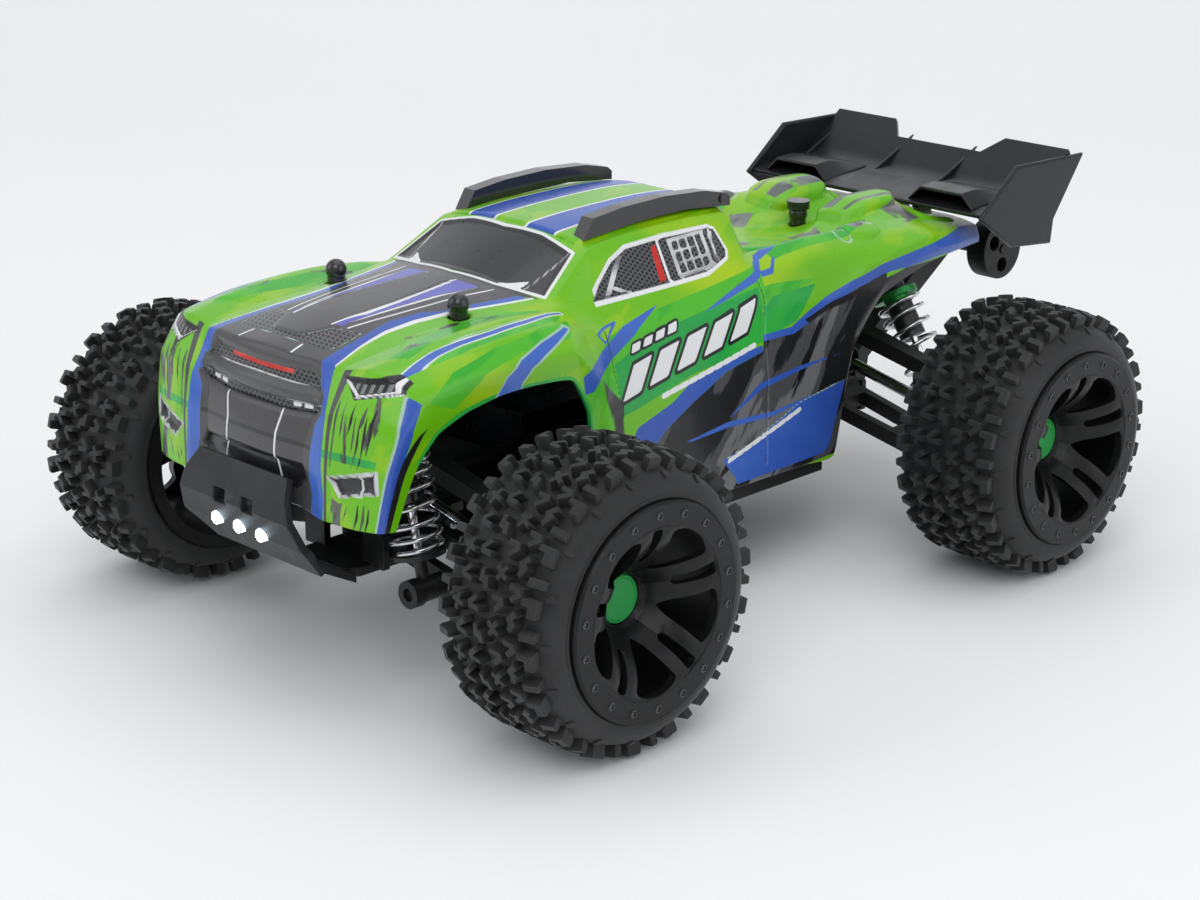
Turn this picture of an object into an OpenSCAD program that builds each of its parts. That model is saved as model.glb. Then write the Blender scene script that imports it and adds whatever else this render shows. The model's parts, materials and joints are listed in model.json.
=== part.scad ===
// Four-wheel-drive radio-controlled monster truck, 1:16 class.
// Forward is -Y, the truck's left side is +X and up is +Z. The tyres stand on z = 0.

/* [Wheels] */
// Distance between the front and the rear axle
wheelbase = 196; // [194:1:197]
// Y of the front axle
front_axle_y = -114.5; // [-115:0.5:-114]
// Outer radius of a tyre
tyre_r = 44; // [43.5:0.5:44.5]
// Width of a tyre
tyre_w = 43; // [42:1:44]
// Distance of a wheel's middle from the truck's centre line
wheel_x = 95; // [94.5:0.5:96]
// Radius of the rim's barrel
rim_r = 29.8; // [29:0.2:29.8]
// Number of tread lugs round one tyre row
tread_lugs = 18; // [12:1:22]
// Number of split spokes in a rim
spoke_count = 5; // [4:1:6]
// Number of screws in the outer rim ring
ring_screws = 18; // [12:1:20]

/* [Suspension] */
// Distance between the two pivots of an arm
arm_len = 46; // [45.5:0.5:46.5]
// Droop of the arms at rest, in degrees
droop = 12; // [11.5:0.5:12]
// X of the lower arm's inner pivot
lower_pivot_x = 15; // [14.5:0.5:15.5]
// Z of the lower arm's inner pivot
lower_pivot_z = 40; // [39.5:0.5:40]
// Offset in X from the lower to the upper pivots
upper_dx = -1; // [-1:0.5:-0.5]
// Offset in Z from the lower to the upper pivots
upper_dz = 27; // [26.5:0.5:27]
// Radius of the hinge pins
pin_r = 1.5; // [1.3:0.1:1.5]
// Running clearance of a hinge pin
pin_gap = 0.06; // [0.04:0.02:0.1]
// Distance of the shocks' plane from the axle
shock_plane = 15.5; // [15.5:0.5:16]
// Radius of a shock spring, at the wire's middle
spring_r = 7.4; // [7:0.2:7.4]
// Radius of the spring wire
spring_wire_r = 0.75; // [0.6:0.05:0.8]
// Number of turns in a spring
spring_turns = 6; // [5:1:7]

/* [Steering] */
// X of the steering pivot
kingpin_x = 62; // [61.8:0.1:62.2]
// Length of the steering arm behind the pivot
steer_arm = 16.5; // [16:0.25:17]
// Length of the servo horn
horn_len = 13; // [12.5:0.5:13]

/* [Drive train] */
// Height of the gear cases' outputs
output_z = 53.6; // [53.2:0.2:53.8]
// Radius of a drive shaft
shaft_r = 2; // [1.6:0.1:2]
// Height of the centre shaft
centre_z = 50; // [49.5:0.5:50.5]
// Gear module
gear_module = 0.6; // [0.55:0.05:0.6]
// Teeth of the spur gear
spur_teeth = 44; // [42:1:44]
// Teeth of the motor's pinion
pinion_teeth = 15; // [14:1:15]
// Radius of the motor's can
motor_r = 13.6; // [12:0.2:13.6]

/* [Body] */
// Thickness of the body shell
shell_t = 1.2; // [1:0.1:1.4]
// Number of steps between two sections of the body shell
shell_steps = 2; // [1:1:3]
// Radius of a body post
post_r = 2.8; // [2.6:0.1:2.8]
// X of the front body posts
front_post_x = 27.8; // [27:0.1:28.4]
// X of the wing's end plates
wing_x = 54; // [52:0.5:55]
// Radius of a wheelie wheel
wheelie_r = 11; // [9.5:0.5:11]

/* [Hidden] */
$fn = 48;
rear_axle_y = front_axle_y + wheelbase;
arm_dx = arm_len * cos(droop);
arm_dz = arm_len * sin(droop);
outer_x = lower_pivot_x + arm_dx;
outer_z = lower_pivot_z - arm_dz;
upper_x = lower_pivot_x + upper_dx;
upper_z = lower_pivot_z + upper_dz;
upper_outer_x = outer_x + upper_dx;
upper_outer_z = outer_z + upper_dz;
bore_r = pin_r + pin_gap;
loose_r = pin_r + 0.7;
arm_t = 5;
arm_half = 10.5;
fork_in = 6;
fork_out = 9;
lug_y = 13.2;
lug_t = 2.4;
tower_y0 = 4.8;
tower_y1 = 8.8;
case_back = 10.5;
eye_half = 2.4;
gear_y = 18.5;
gear_w = 5;
motor_x = gear_module * (spur_teeth + pinion_teeth) / 2;
servo_x = -20;
steer_y = front_axle_y + steer_arm;
rack_z = 43.2;
rack_t = 2.8;
plate_z = 30;
plate_t = 3;
sill_x = 46.8;
post_y = -104.7;
lamp_xs = [-10.4, 0, 10.4];
lamp_z = 51.5;
rear_post_y = 77;
wheelie_x = 25;
wheelie_y = 157;
wheelie_z = 81;
spring_top = 15.7;
spring_seat_r = 8;
shock_eye_r = 3.6;
shock_collar_r = 1.9;
shock_rod_r = 1.3;
shock_rod_top = 32;
// Shock pivots: [top x, top z, lower x, lower z], front then rear
front_shock = [27.5, 87.5, 39.5, 33];
rear_shock = [20, 87, 54, 36];

// ---- Placing ----

// Puts a left front corner's part at any corner. Toward the truck's near end is local -Y.
module at_corner(axle, side) {
    translate([0, axle == "front" ? front_axle_y : rear_axle_y, 0])
        mirror([side == "left" ? 0 : 1, 0, 0])
            mirror([0, axle == "front" ? 0 : 1, 0])
                children();
}

// A cylinder along Y from y0 to y1 at (x, z)
module rod_y(x, z, r, y0, y1) {
    translate([x, y1, z]) rotate([90, 0, 0]) cylinder(r = r, h = y1 - y0);
}

// A cylinder along X from x0 to x1 at (y, z)
module rod_x(y, z, r, x0, x1) {
    translate([x0, y, z]) rotate([0, 90, 0]) cylinder(r = r, h = x1 - x0);
}

// A cylinder along Z from z0 to z1 at (x, y)
module rod_z(x, y, r, z0, z1) {
    translate([x, y, z0]) cylinder(r = r, h = z1 - z0);
}

// A box from its low to its high corner
module block(low, high) {
    translate(low) cube(high - low);
}

// An outline in Y and Z, drawn out from x0 to x1
module yz_plate(points, x0, x1) {
    translate([x0, 0, 0]) rotate([90, 0, 90]) linear_extrude(x1 - x0) polygon(points);
}

// An outline in X and Z, drawn out from y0 to y1
module xz_plate(points, y0, y1) {
    translate([0, y1, 0]) rotate([90, 0, 0]) linear_extrude(y1 - y0) polygon(points);
}

// An outline in X and Y, mirrored about the centre line, from z0 to z1
module plan_plate(half, z0, z1) {
    other = [for (i = [len(half) - 1:-1:0]) [-half[i].x, half[i].y]];
    translate([0, 0, z0]) linear_extrude(z1 - z0) polygon(concat(half, other));
}

// ---- Wheels ----

module wheel_frame() {
    translate([wheel_x, 0, tyre_r]) rotate([0, 90, 0]) children();
}

module tyre(axle, side) {
    half = tyre_w / 2;
    carcass_r = tyre_r - 3;
    lug_step = 360 / tread_lugs;
    color("#1d1d1f") at_corner(axle, side) wheel_frame() {
        difference() {
            union() {
                rotate_extrude()
                    polygon([
                        [rim_r + 0.2, -half + 5], [rim_r + 1.7, -half + 1.5], [34, -half], [38, -half + 1],
                        [carcass_r - 1, -half + 4], [carcass_r, -half + 8], [carcass_r, half - 8],
                        [carcass_r - 1, half - 4], [38, half - 1], [34, half], [rim_r + 1.7, half - 1.5],
                        [rim_r + 0.2, half - 5]
                    ]);
                for (i = [0:tread_lugs - 1]) {
                    rotate(i * lug_step) block([carcass_r - 4, -3.6, -14], [tyre_r, 3.6, -1]);
                    rotate((i + 0.5) * lug_step) block([carcass_r - 4, -3.6, 1], [tyre_r, 3.6, 14]);
                }
            }
            rotate_extrude()
                polygon([
                    [rim_r - 2, -half + 9], [34, -half + 5], [37, -half + 6], [38, -half + 10],
                    [38, half - 10], [37, half - 6], [34, half - 5], [rim_r - 2, half - 9]
                ]);
        }
    }
}

module rim(axle, side) {
    edge = 23.4;
    face_x = 9.5;
    ring_t = 2.8;
    screw_circle = 28;
    color("#141416") at_corner(axle, side) wheel_frame() {
        difference() {
            union() {
                rotate_extrude()
                    polygon([
                        [27.4, -edge], [31.4, -edge], [31.4, -edge + ring_t], [rim_r, -edge + ring_t],
                        [rim_r, edge - ring_t], [31.4, edge - ring_t], [31.4, edge], [24.5, edge],
                        [24.5, edge - ring_t], [27.4, edge - ring_t]
                    ]);
                translate([0, 0, face_x - 3.5]) cylinder(r = 27.6, h = 3.5);
                translate([0, 0, -15]) cylinder(r = 8, h = 15 + face_x - 1);
            }
            translate([0, 0, -16]) cylinder(r = 2.55, h = 32);
            for (i = [0:spoke_count - 1], s = [-1, 1])
                rotate(i * 360 / spoke_count + s * 15)
                    translate([0, 0, face_x - 5]) linear_extrude(8)
                        polygon([
                            [11, -1.2 - 0.6 * s], [24.5, -4.6], [25.6, 0], [24.5, 4.6], [11, 1.2 - 0.6 * s]
                        ]);
        }
        for (i = [0:ring_screws - 1])
            rotate(i * 360 / ring_screws)
                translate([screw_circle, 0, edge - 1]) cylinder(r = 0.9, h = 1.5, $fn = 16);
    }
    color("silver") at_corner(axle, side) wheel_frame() {
        axle_in = kingpin_x - 2 - wheel_x;
        cup_end = axle_in + 8.5;
        difference() {
            union() {
                translate([0, 0, axle_in]) cylinder(r = 5, h = 8.5);
                translate([0, 0, cup_end - 0.5]) cylinder(r = pin_r + 1, h = face_x - cup_end);
            }
            translate([0, 0, axle_in - 1]) cylinder(r = 4, h = 8.5);
        }
    }
    color("#25a244") at_corner(axle, side) wheel_frame()
        translate([0, 0, face_x + 0.05]) cylinder(r = 7, h = 1.6);
}

// ---- Suspension ----

module lower_arm(axle, side) {
    shock = axle == "front" ? front_shock : rear_shock;
    lug_r = axle == "front" ? 3.6 : 4;
    color("#202022") at_corner(axle, side) {
        difference() {
            union() {
                rod_y(lower_pivot_x, lower_pivot_z, 3.6, -arm_half, arm_half);
                translate([lower_pivot_x, 0, lower_pivot_z]) rotate([0, droop, 0])
                    translate([0, 0, -arm_t / 2]) linear_extrude(arm_t) difference() {
                        polygon([
                            [1, 0.6 - arm_half], [arm_len - 2, 0.6 - fork_out],
                            [arm_len - 2, fork_out - 0.6], [1, arm_half - 0.6]
                        ]);
                        polygon([[8, -6.5], [31, -5.6], [31, 5.6], [8, 6.5]]);
                    }
                rod_y(outer_x, outer_z, 3.4, -fork_out, fork_out);
                rod_y(shock[2], shock[3], lug_r, -13, -fork_in);
            }
            rod_y(lower_pivot_x, lower_pivot_z, bore_r, -20, 20);
            rod_y(outer_x, outer_z, bore_r, -20, 20);
            block([outer_x - 7.4, -fork_in, outer_z - 6], [outer_x + 5, fork_in, outer_z + 7]);
        }
        rod_y(outer_x, outer_z, pin_r, -fork_out, fork_out);
        difference() {
            union() {
                rod_y(shock[2], shock[3], pin_r, -19, -12.5);
                rod_y(shock[2], shock[3], 4.2, -22, -18.4);
            }
            rod_y(shock[2], shock[3], 2, -23, -20.5);
        }
    }
}

module upper_arm(axle, side) {
    inner_half = 4.5;
    outer_half = 4;
    color("#202022") at_corner(axle, side) {
        difference() {
            union() {
                rod_y(upper_x, upper_z, 3, -inner_half, inner_half);
                translate([upper_x, 0, upper_z]) rotate([0, droop, 0])
                    translate([0, 0, -arm_t / 2]) linear_extrude(arm_t)
                        polygon([
                            [1, 0.6 - inner_half], [arm_len - 1, -3], [arm_len - 1, 3], [1, inner_half - 0.6]
                        ]);
                rod_y(upper_outer_x, upper_outer_z, 3.2, -outer_half, outer_half);
            }
            rod_y(upper_x, upper_z, bore_r, -20, 20);
            rod_y(upper_outer_x, upper_outer_z, pin_r + 0.3, -20, 20);
        }
    }
}

// The two forks that hold a hub between its arms: lower barrel and upper ears with their pin
module hub_forks() {
    difference() {
        rod_y(outer_x, outer_z, 3.4, -5.7, 5.7);
        rod_y(outer_x, outer_z, bore_r, -20, 20);
    }
    for (s = [-1, 1])
        rod_y(upper_outer_x, upper_outer_z, 3, min(4.3 * s, 6.9 * s), max(4.3 * s, 6.9 * s));
    rod_y(upper_outer_x, upper_outer_z, pin_r, -6.8, 6.8);
}

module caster_block(side) {
    color("#2a2a2d") at_corner("front", side) {
        hub_forks();
        difference() {
            union() {
                block([53.6, -5.7, outer_z + 2.2], [56.6, 5.7, 40]);
                block([53.6, -6.9, 38], [56.6, 6.9, 54]);
                block([55, -5.5, outer_z + 2.2], [kingpin_x + 4, 5.5, 35.6]);
                block([55, -5.5, 52.3], [kingpin_x + 4, 5.5, 54]);
                for (s = [-1, 1])
                    block([55, min(4.3 * s, 6.9 * s), 52.3], [61.5, max(4.3 * s, 6.9 * s), upper_outer_z]);
            }
            rod_x(0, 44.8, 4.8, 50, 58);
            rod_z(kingpin_x, 0, bore_r, 30, 56);
            rod_y(outer_x, outer_z, bore_r, -20, 20);
        }
    }
}

module steering_knuckle(side) {
    color("#2a2a2d") at_corner("front", side) {
        difference() {
            union() {
                rod_x(0, tyre_r, 8.4, 69, 78);
                for (z = [[35.8, 38.6], [49.4, 52.1]]) {
                    rod_z(kingpin_x, 0, 5, z[0], z[1]);
                    block([kingpin_x, -5, z[0]], [72, 5, z[1]]);
                }
                block([kingpin_x - 2.6, 0, 35.8], [kingpin_x + 2.6, steer_arm, 38.6]);
                rod_z(kingpin_x, steer_arm, 2.6, 35.8, 38.6);
            }
            rod_x(0, tyre_r, 2.56, 60, 80);
            rod_x(0, tyre_r, 5.4, 60, 69.2);
        }
        rod_z(kingpin_x, 0, pin_r, 34.1, 36);
        rod_z(kingpin_x, 0, pin_r, 52, 53.8);
        rod_z(kingpin_x, steer_arm, pin_r, 27, 36);
    }
}

module rear_hub(side) {
    color("#2a2a2d") at_corner("rear", side) {
        hub_forks();
        difference() {
            union() {
                block([54.6, -5.5, outer_z + 2.2], [59.4, 5.5, 54]);
                for (s = [-1, 1])
                    block([54.6, min(4.3 * s, 6.9 * s), 50], [61.5, max(4.3 * s, 6.9 * s), upper_outer_z]);
                block([54.6, -6.9, 50], [60.5, 6.9, 54]);
                rod_x(0, tyre_r, 8, 59.3, 78);
            }
            rod_x(0, 44.8, 4.8, 50, 60);
            rod_x(0, tyre_r, 5.4, 59, 69.2);
            rod_x(0, tyre_r, 2.56, 60, 80);
            rod_y(outer_x, outer_z, bore_r, -20, 20);
        }
    }
}

// ---- Shocks ----

function shock_len(s) = norm([s[2] - s[0], s[3] - s[1]]);
function shock_lean(s) = atan2(s[2] - s[0], s[1] - s[3]);

// The frame of a shock: its top pivot is the origin and its rod points along -Z
module shock_frame(axle, side) {
    s = axle == "front" ? front_shock : rear_shock;
    at_corner(axle, side) translate([s[0], -shock_plane, s[1]]) rotate([0, -shock_lean(s), 0]) children();
}

module shock_body(axle, side) {
    cap = axle == "front" ? "#1f1f21" : "#2ba84a";
    color(cap) shock_frame(axle, side) {
        difference() {
            union() {
                rod_y(0, 0, 3.6, -eye_half, eye_half);
                translate([-2.5, -eye_half, -5]) cube([5, 2 * eye_half, 4]);
                translate([0, 0, -9]) cylinder(r = 6, h = 4.5);
                translate([0, 0, -30]) cylinder(r = 4.6, h = 22);
                translate([0, 0, -15.5]) cylinder(r = 8, h = 2.5);
            }
            rod_y(0, 0, bore_r, -10, 10);
            translate([0, 0, -31]) cylinder(r = 1.36, h = 14);
        }
    }
}

module shock_rod(axle, side) {
    len = shock_len(axle == "front" ? front_shock : rear_shock);
    seat = 10;
    disc = 1.4;
    color("silver") shock_frame(axle, side) translate([0, 0, -len]) {
        difference() {
            union() {
                rotate_extrude() polygon([
                    [0, shock_eye_r - 1], [shock_collar_r, shock_eye_r - 1], [shock_collar_r, seat],
                    [spring_seat_r, seat], [spring_seat_r, seat + disc],
                    [shock_rod_r, seat + disc], [shock_rod_r, shock_rod_top], [0, shock_rod_top]
                ]);
                rod_y(0, 0, shock_eye_r, -eye_half, eye_half);
            }
            rod_y(0, 0, loose_r, -10, 10);
        }
    }
}

// A coil swept from rings of points; the ends lie flat on the seats
module coil(r, wire, turns, height) {
    sides = 6;
    per_turn = 14;
    rings = turns * per_turn;
    rise = height - 2 * wire;
    points = [
        for (i = [0:rings], k = [0:sides - 1])
            let (a = 360 * i / per_turn, b = 360 * k / sides, d = r + wire * cos(b))
                [d * cos(a), d * sin(a), wire + rise * i / rings + wire * sin(b)]
    ];
    walls = [
        for (i = [0:rings - 1], k = [0:sides - 1])
            let (n = (k + 1) % sides, a = i * sides, b = a + sides)
                [a + k, a + n, b + n, b + k]
    ];
    first = [for (k = [sides - 1:-1:0]) k];
    last = [for (k = [0:sides - 1]) rings * sides + k];
    polyhedron(points, concat(walls, [first], [last]), convexity = 10);
}

module spring(axle, side) {
    seat = shock_len(axle == "front" ? front_shock : rear_shock) - 11.6;
    color("silver") shock_frame(axle, side)
        translate([0, 0, -seat]) coil(spring_r, spring_wire_r, spring_turns, seat - spring_top);
}

// ---- Drive ----

module drive_shaft(axle, side) {
    plunge = 1.6;
    ball_r = 3;
    x0 = kingpin_x - arm_dx + plunge;
    color("gainsboro") at_corner(axle, side)
        translate([x0, 0, output_z]) rotate([0, 90 + droop, 0]) {
            cylinder(r = shaft_r, h = arm_len);
            sphere(r = ball_r);
            translate([0, 0, arm_len]) sphere(r = ball_r);
        }
}

// A flat gear with straight, narrow-topped teeth, about Z
module gear(teeth, width, bore) {
    pitch_r = gear_module * teeth / 2;
    root_r = pitch_r - 1.2 * gear_module;
    tip_r = pitch_r + 0.85 * gear_module;
    step = 360 / teeth;
    linear_extrude(width, center = true) difference() {
        polygon([
            for (i = [0:teeth - 1], p = [[root_r, -0.29], [tip_r, -0.1], [tip_r, 0.1], [root_r, 0.29]])
                [p[0] * cos((i + p[1]) * step), p[0] * sin((i + p[1]) * step)]
        ]);
        circle(r = bore);
    }
}

module centre_shaft() {
    front_end = front_axle_y + case_back - 4;
    rear_end = rear_axle_y - case_back + 4;
    color("silver") rod_y(0, centre_z, 2, front_end, rear_end);
    color("ivory") translate([0, gear_y, centre_z]) rotate([90, 0, 0]) gear(spur_teeth, gear_w, 1.9);
}

module motor_pinion() {
    turn = pinion_teeth % 2 == 0 ? 180 / pinion_teeth : 0;
    color("goldenrod") translate([motor_x, gear_y, centre_z]) rotate([90, turn, 0])
        gear(pinion_teeth, gear_w, 1.2);
}

module motor() {
    front = 24;
    color("silver") {
        rod_y(motor_x, centre_z, motor_r, front, front + 34);
        rod_y(motor_x, centre_z, 4, front + 33, front + 37);
    }
}

module gear_cases() {
    color("#2b2b2e") for (axle = ["front", "rear"]) at_corner(axle, "left") {
        difference() {
            union() {
                block([-11, -tower_y0, 34], [11, case_back, 62]);
                block([-10.4, -tower_y0, 60], [10.4, case_back, 70]);
                rod_x(0, output_z, 4.75, -22, 22);
            }
            for (s = [-1, 1]) rod_x(0, output_z, 4, min(11.2 * s, 23 * s), max(11.2 * s, 23 * s));
            rod_y(0, centre_z, 2.06, case_back - 5, case_back + 1);
        }
        for (s = [-1, 1]) {
            difference() {
                block([min(9 * s, 17 * s), 5.4, 64], [max(9 * s, 17 * s), 8, 70]);
                rod_y(upper_x * s, upper_z, pin_r, 0, 20);
            }
            rod_y(upper_x * s, upper_z, pin_r, -tower_y0, 7.9);
        }
    }
}

// ---- Steering ----

module servo() {
    color("#34343a") {
        block([-31, -92, plate_z + plate_t], [-11, -58, 46.4]);
        rod_z(servo_x, steer_y + horn_len - 1, 3, 46, 47);
    }
}

module servo_horn() {
    y = steer_y + horn_len - 1;
    color("white") {
        rod_z(servo_x, y, 4, 47.1, 49.4);
        block([servo_x - 2, y - horn_len, 47.1], [servo_x + 2, y, 49.4]);
        rod_z(servo_x, y - horn_len, 2, 47.1, 49.4);
        rod_z(servo_x, y - horn_len, pin_r, 43.6, 47.2);
    }
}

module steering_rack() {
    color("#3a3a40") {
        difference() {
            union() {
                block([-19, steer_y - 2.5, rack_z], [18, steer_y + 2.5, rack_z + rack_t]);
                block([servo_x - 5, steer_y - 4.3, rack_z], [servo_x + 5, steer_y + 2.5, rack_z + rack_t]);
            }
            block([servo_x - 1.9, steer_y - 2.9, 40], [servo_x + 1.9, steer_y + 5, 50]);
        }
        for (s = [-1, 1]) rod_z(lower_pivot_x * s, steer_y, pin_r, 37, rack_z + 1);
    }
}

module tie_rod(side) {
    eye_t = 3.6;
    reach = (kingpin_x - lower_pivot_x) / cos(droop);
    color("silver") at_corner("front", side)
        translate([lower_pivot_x, steer_arm, lower_pivot_z]) rotate([0, droop, 0]) difference() {
            union() {
                rotate([0, 90, 0]) cylinder(r = 1.4, h = reach);
                translate([0, 0, -eye_t / 2]) cylinder(r = 3, h = eye_t);
                translate([reach, -0.5, -eye_t / 2]) cylinder(r = 4.4, h = eye_t);
            }
            translate([0, 0, -10]) cylinder(r = 2.2, h = 20);
            translate([reach, -0.5, -10]) cylinder(r = 2.7, h = 20);
        }
}

// ---- Chassis ----

module chassis() {
    side_half = [
        [0, -136], [10, -136], [13, -132], [13, -98], [30, -74], [sill_x, -64],
        [sill_x, 38], [30, 52], [13, 66], [13, 104], [9, 110], [0, 110]
    ];
    top = plate_z + plate_t;
    color("#19191b") {
        plan_plate(side_half, plate_z, top);
        for (s = [0, 1]) mirror([s, 0, 0]) block([sill_x - 2, -60, plate_z], [sill_x, 36, 40]);
        for (axle = ["front", "rear"], side = ["left", "right"]) at_corner(axle, side) {
            for (y = [-lug_y, lug_y - lug_t]) difference() {
                block([9, y, top - 1], [18.5, y + lug_t, 42.9]);
                rod_y(lower_pivot_x, lower_pivot_z, pin_r, -20, 20);
            }
            rod_y(lower_pivot_x, lower_pivot_z, pin_r, -lug_y, lug_y);
        }
        for (s = [0, 1]) mirror([s, 0, 0])
            block([2.4, steer_y - 2.5, top - 1], [5.6, steer_y + 2.5, rack_z - 0.1]);
        difference() {
            block([-6, 22, top - 1], [motor_x + 17, 24, 66]);
            rod_y(0, centre_z, 2.06, 20, 26);
            rod_y(motor_x, centre_z, 6, 20, 26);
        }
    }
}

module shock_towers() {
    color("#222225") for (axle = ["front", "rear"]) at_corner(axle, "left") {
        s = axle == "front" ? front_shock : rear_shock;
        ear = s[0] + 4;
        difference() {
            xz_plate([
                [-10, 50], [10, 50], [15, 64], [14, 80.5], [ear - 3, 80.5], [ear, 84], [ear, 91],
                [-ear, 91], [-ear, 84], [3 - ear, 80.5], [-14, 80.5], [-15, 64]
            ], -tower_y1, -tower_y0);
            xz_plate([[-6, 72], [6, 72], [6, 80], [-6, 80]], -10, 0);
        }
        for (m = [-1, 1]) {
            rod_y(s[0] * m, s[1], pin_r, -shock_plane - 4, -tower_y1 + 1);
            rod_y(s[0] * m, s[1], 2.8, -shock_plane - 5, -shock_plane - eye_half - 0.4);
        }
    }
}

module battery() {
    color("#2f6fb5") block([-44, -40, plate_z + plate_t], [-15.2, 34, 53]);
}

module receiver() {
    color("#3b3b42") block([12, -62, plate_z + plate_t], [42, -26, 48]);
}

module power_switch() {
    color("red") block([24, -48, 48.2], [29, -43, 51]);
}

// ---- Body and trim ----

module front_bumper() {
    outline = [[-20, 71], [20, 71], [24, 63], [28, 50], [23, 36], [-23, 36], [-28, 50], [-24, 63]];
    color("#3b3c3f") {
        difference() {
            intersection() {
                yz_plate([
                    [-163.5, 70.5], [-167, 65], [-168, 58.5], [-165.2, 50.6], [-155.5, 39.5],
                    [-153.4, 41.2], [-162.8, 51.8], [-165.4, 59], [-164.8, 64.4], [-161.3, 69.6]
                ], -30, 30);
                xz_plate(outline, -170, -150);
            }
            for (s = [-1, 1]) block([6.5 * s - 2.6, -170, 57.5], [6.5 * s + 2.6, -160, 62]);
            for (x = lamp_xs) rod_y(x, lamp_z, 2, -170, -160);
        }
        yz_plate([
            [-158, 43.6], [-155.8, 40.4], [-136.1, plate_z], [-136.1, 33], [-137, 33.2], [-155, 43.8]
        ], -16, 16);
    }
}

module front_lamps() {
    color("lightcyan") for (x = lamp_xs) {
        rod_y(x, lamp_z, 1.95, -166.4, -162);
        translate([x, -166, lamp_z]) sphere(r = 1.5, $fn = 24);
    }
}

module body_posts() {
    ball_r = 3.3;
    color("#161618") {
        difference() {
            block([-31, front_axle_y - tower_y1, 91], [31, post_y + 3, 93.4]);
            block([-22, front_axle_y - tower_y0 + 3, 90], [22, post_y + 4, 95]);
        }
        for (s = [-1, 1]) {
            rod_z(front_post_x * s, post_y, post_r, 93, 110);
            translate([front_post_x * s, post_y, 111.2]) sphere(r = ball_r, $fn = 32);
        }
        block([-7, rear_post_y - 3, 91], [7, rear_axle_y + tower_y1, 93.4]);
        rod_z(0, rear_post_y, post_r, 93, 104);
        translate([0, rear_post_y, 102.6]) sphere(r = ball_r, $fn = 32);
        rod_z(0, rear_post_y, 4, 104.6, 107.4);
    }
}

// Half sections of the shell, from the hem up to the centre line, front to back
body_rows = [
    [
        [52, -151, 60], [50, -155, 60], [44, -157.5, 60], [38, -158.5, 60],
        [30, -159, 60], [22, -158, 61], [11, -159.5, 62], [0, -160, 62]
    ],
    [
        [54, -146, 76], [53, -153, 77], [46, -156, 77], [39, -157.5, 77],
        [30, -158.5, 77], [22, -157.8, 77], [11, -159.2, 77], [0, -159.7, 77]
    ],
    [
        [55, -138, 86], [55, -149, 89], [48, -154, 91], [40, -155.5, 92],
        [31, -156, 90], [24, -155.2, 88], [12, -156.8, 88], [0, -157.3, 88]
    ],
    [
        [55, -127, 90], [55, -142, 96], [49, -147, 101], [41, -149, 102.5],
        [31, -150.5, 101], [23, -152, 102], [12, -153.5, 102.5], [0, -154, 103]
    ],
    [
        [55, -114, 92], [55, -126, 99], [50, -128, 104], [42, -130, 105.5],
        [32, -131, 104], [24, -131, 105], [12, -131, 106.5], [0, -131, 107]
    ],
    [
        [55, -100, 92], [55, -103, 99], [50, -104, 105], [42, -104, 107],
        [33, -104, 105.6], [27, -104, 106.4], [14, -104, 108.5], [0, -104, 109]
    ],
    [
        [55, -86, 90], [54.5, -85, 98], [49, -84, 104], [42, -84, 106],
        [37, -84, 105.5], [33, -84, 106.5], [17, -86, 109], [0, -88, 110]
    ],
    [
        [54.5, -79, 78], [52.5, -76, 91], [47, -74, 101], [41, -73, 104],
        [37.5, -74, 106], [35.5, -76, 107], [18, -80, 109.5], [0, -82, 110.6]
    ],
    [
        [53, -76, 62], [50, -67, 80], [46, -62, 96], [41, -62, 103],
        [38.5, -61, 106.5], [31.5, -57, 118.5], [16, -58, 121], [0, -59, 121.6]
    ],
    [
        [50, -68, 42], [49.5, -50, 72], [45.5, -42, 94], [41, -40, 102],
        [38.5, -40, 106.5], [30.5, -40, 120], [16, -40, 122.3], [0, -40, 122.8]
    ],
    [
        [49.5, -30, 37], [49, -20, 70], [45.5, -12, 93], [41, -10, 101],
        [38, -10, 106.5], [29.5, -10, 120], [15, -10, 122.6], [0, -10, 123]
    ],
    [
        [49, 5, 36], [48.5, 5, 68], [44.5, 6, 92], [41, 7, 100],
        [37, 6, 106], [28.5, 8, 118.5], [14, 9, 120.8], [0, 9, 121]
    ],
    [
        [48.5, 26, 35.5], [48, 20, 66], [44, 16, 91], [40, 15, 101],
        [34, 15, 105], [27, 16, 103.5], [14, 17, 102], [0, 17, 102]
    ],
    [
        [48, 41, 35.5], [47, 41, 62], [44, 41, 87], [40, 38, 101],
        [34, 38, 105.5], [26, 38, 100], [13, 38, 98.5], [0, 38, 98.5]
    ],
    [
        [46, 51, 68], [46, 55, 80], [44, 60, 94], [40, 62, 100],
        [33, 62, 104.5], [26, 62, 99.5], [13, 62, 98], [0, 62, 97.5]
    ],
    [
        [45, 66, 84], [45, 72, 90], [43, 80, 97], [38, 82, 101],
        [31, 84, 103], [23, 84, 106], [13, 84, 106], [0, 84, 97.5]
    ],
    [
        [44, 92, 90.5], [44, 94, 94], [42, 98, 98], [37, 99, 100],
        [30, 100, 101.5], [22, 101, 106], [13, 101, 106], [0, 101, 98]
    ],
    [
        [42, 110, 91.5], [42, 112, 94], [39, 113, 97], [34, 114, 98],
        [28, 114, 99], [21, 114, 99], [12, 114, 98.5], [0, 114, 98]
    ],
    [
        [39, 127, 91], [39, 127, 93], [37, 128, 95.5], [32, 128, 96.5],
        [26, 128, 97], [20, 128, 97], [11, 128, 97], [0, 128, 97]
    ]
];

// A full section, left hem to right hem, made from a half section
function full_row(half) = concat(half, [for (j = [len(half) - 2:-1:0]) [-half[j].x, half[j].y, half[j].z]]);

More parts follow.
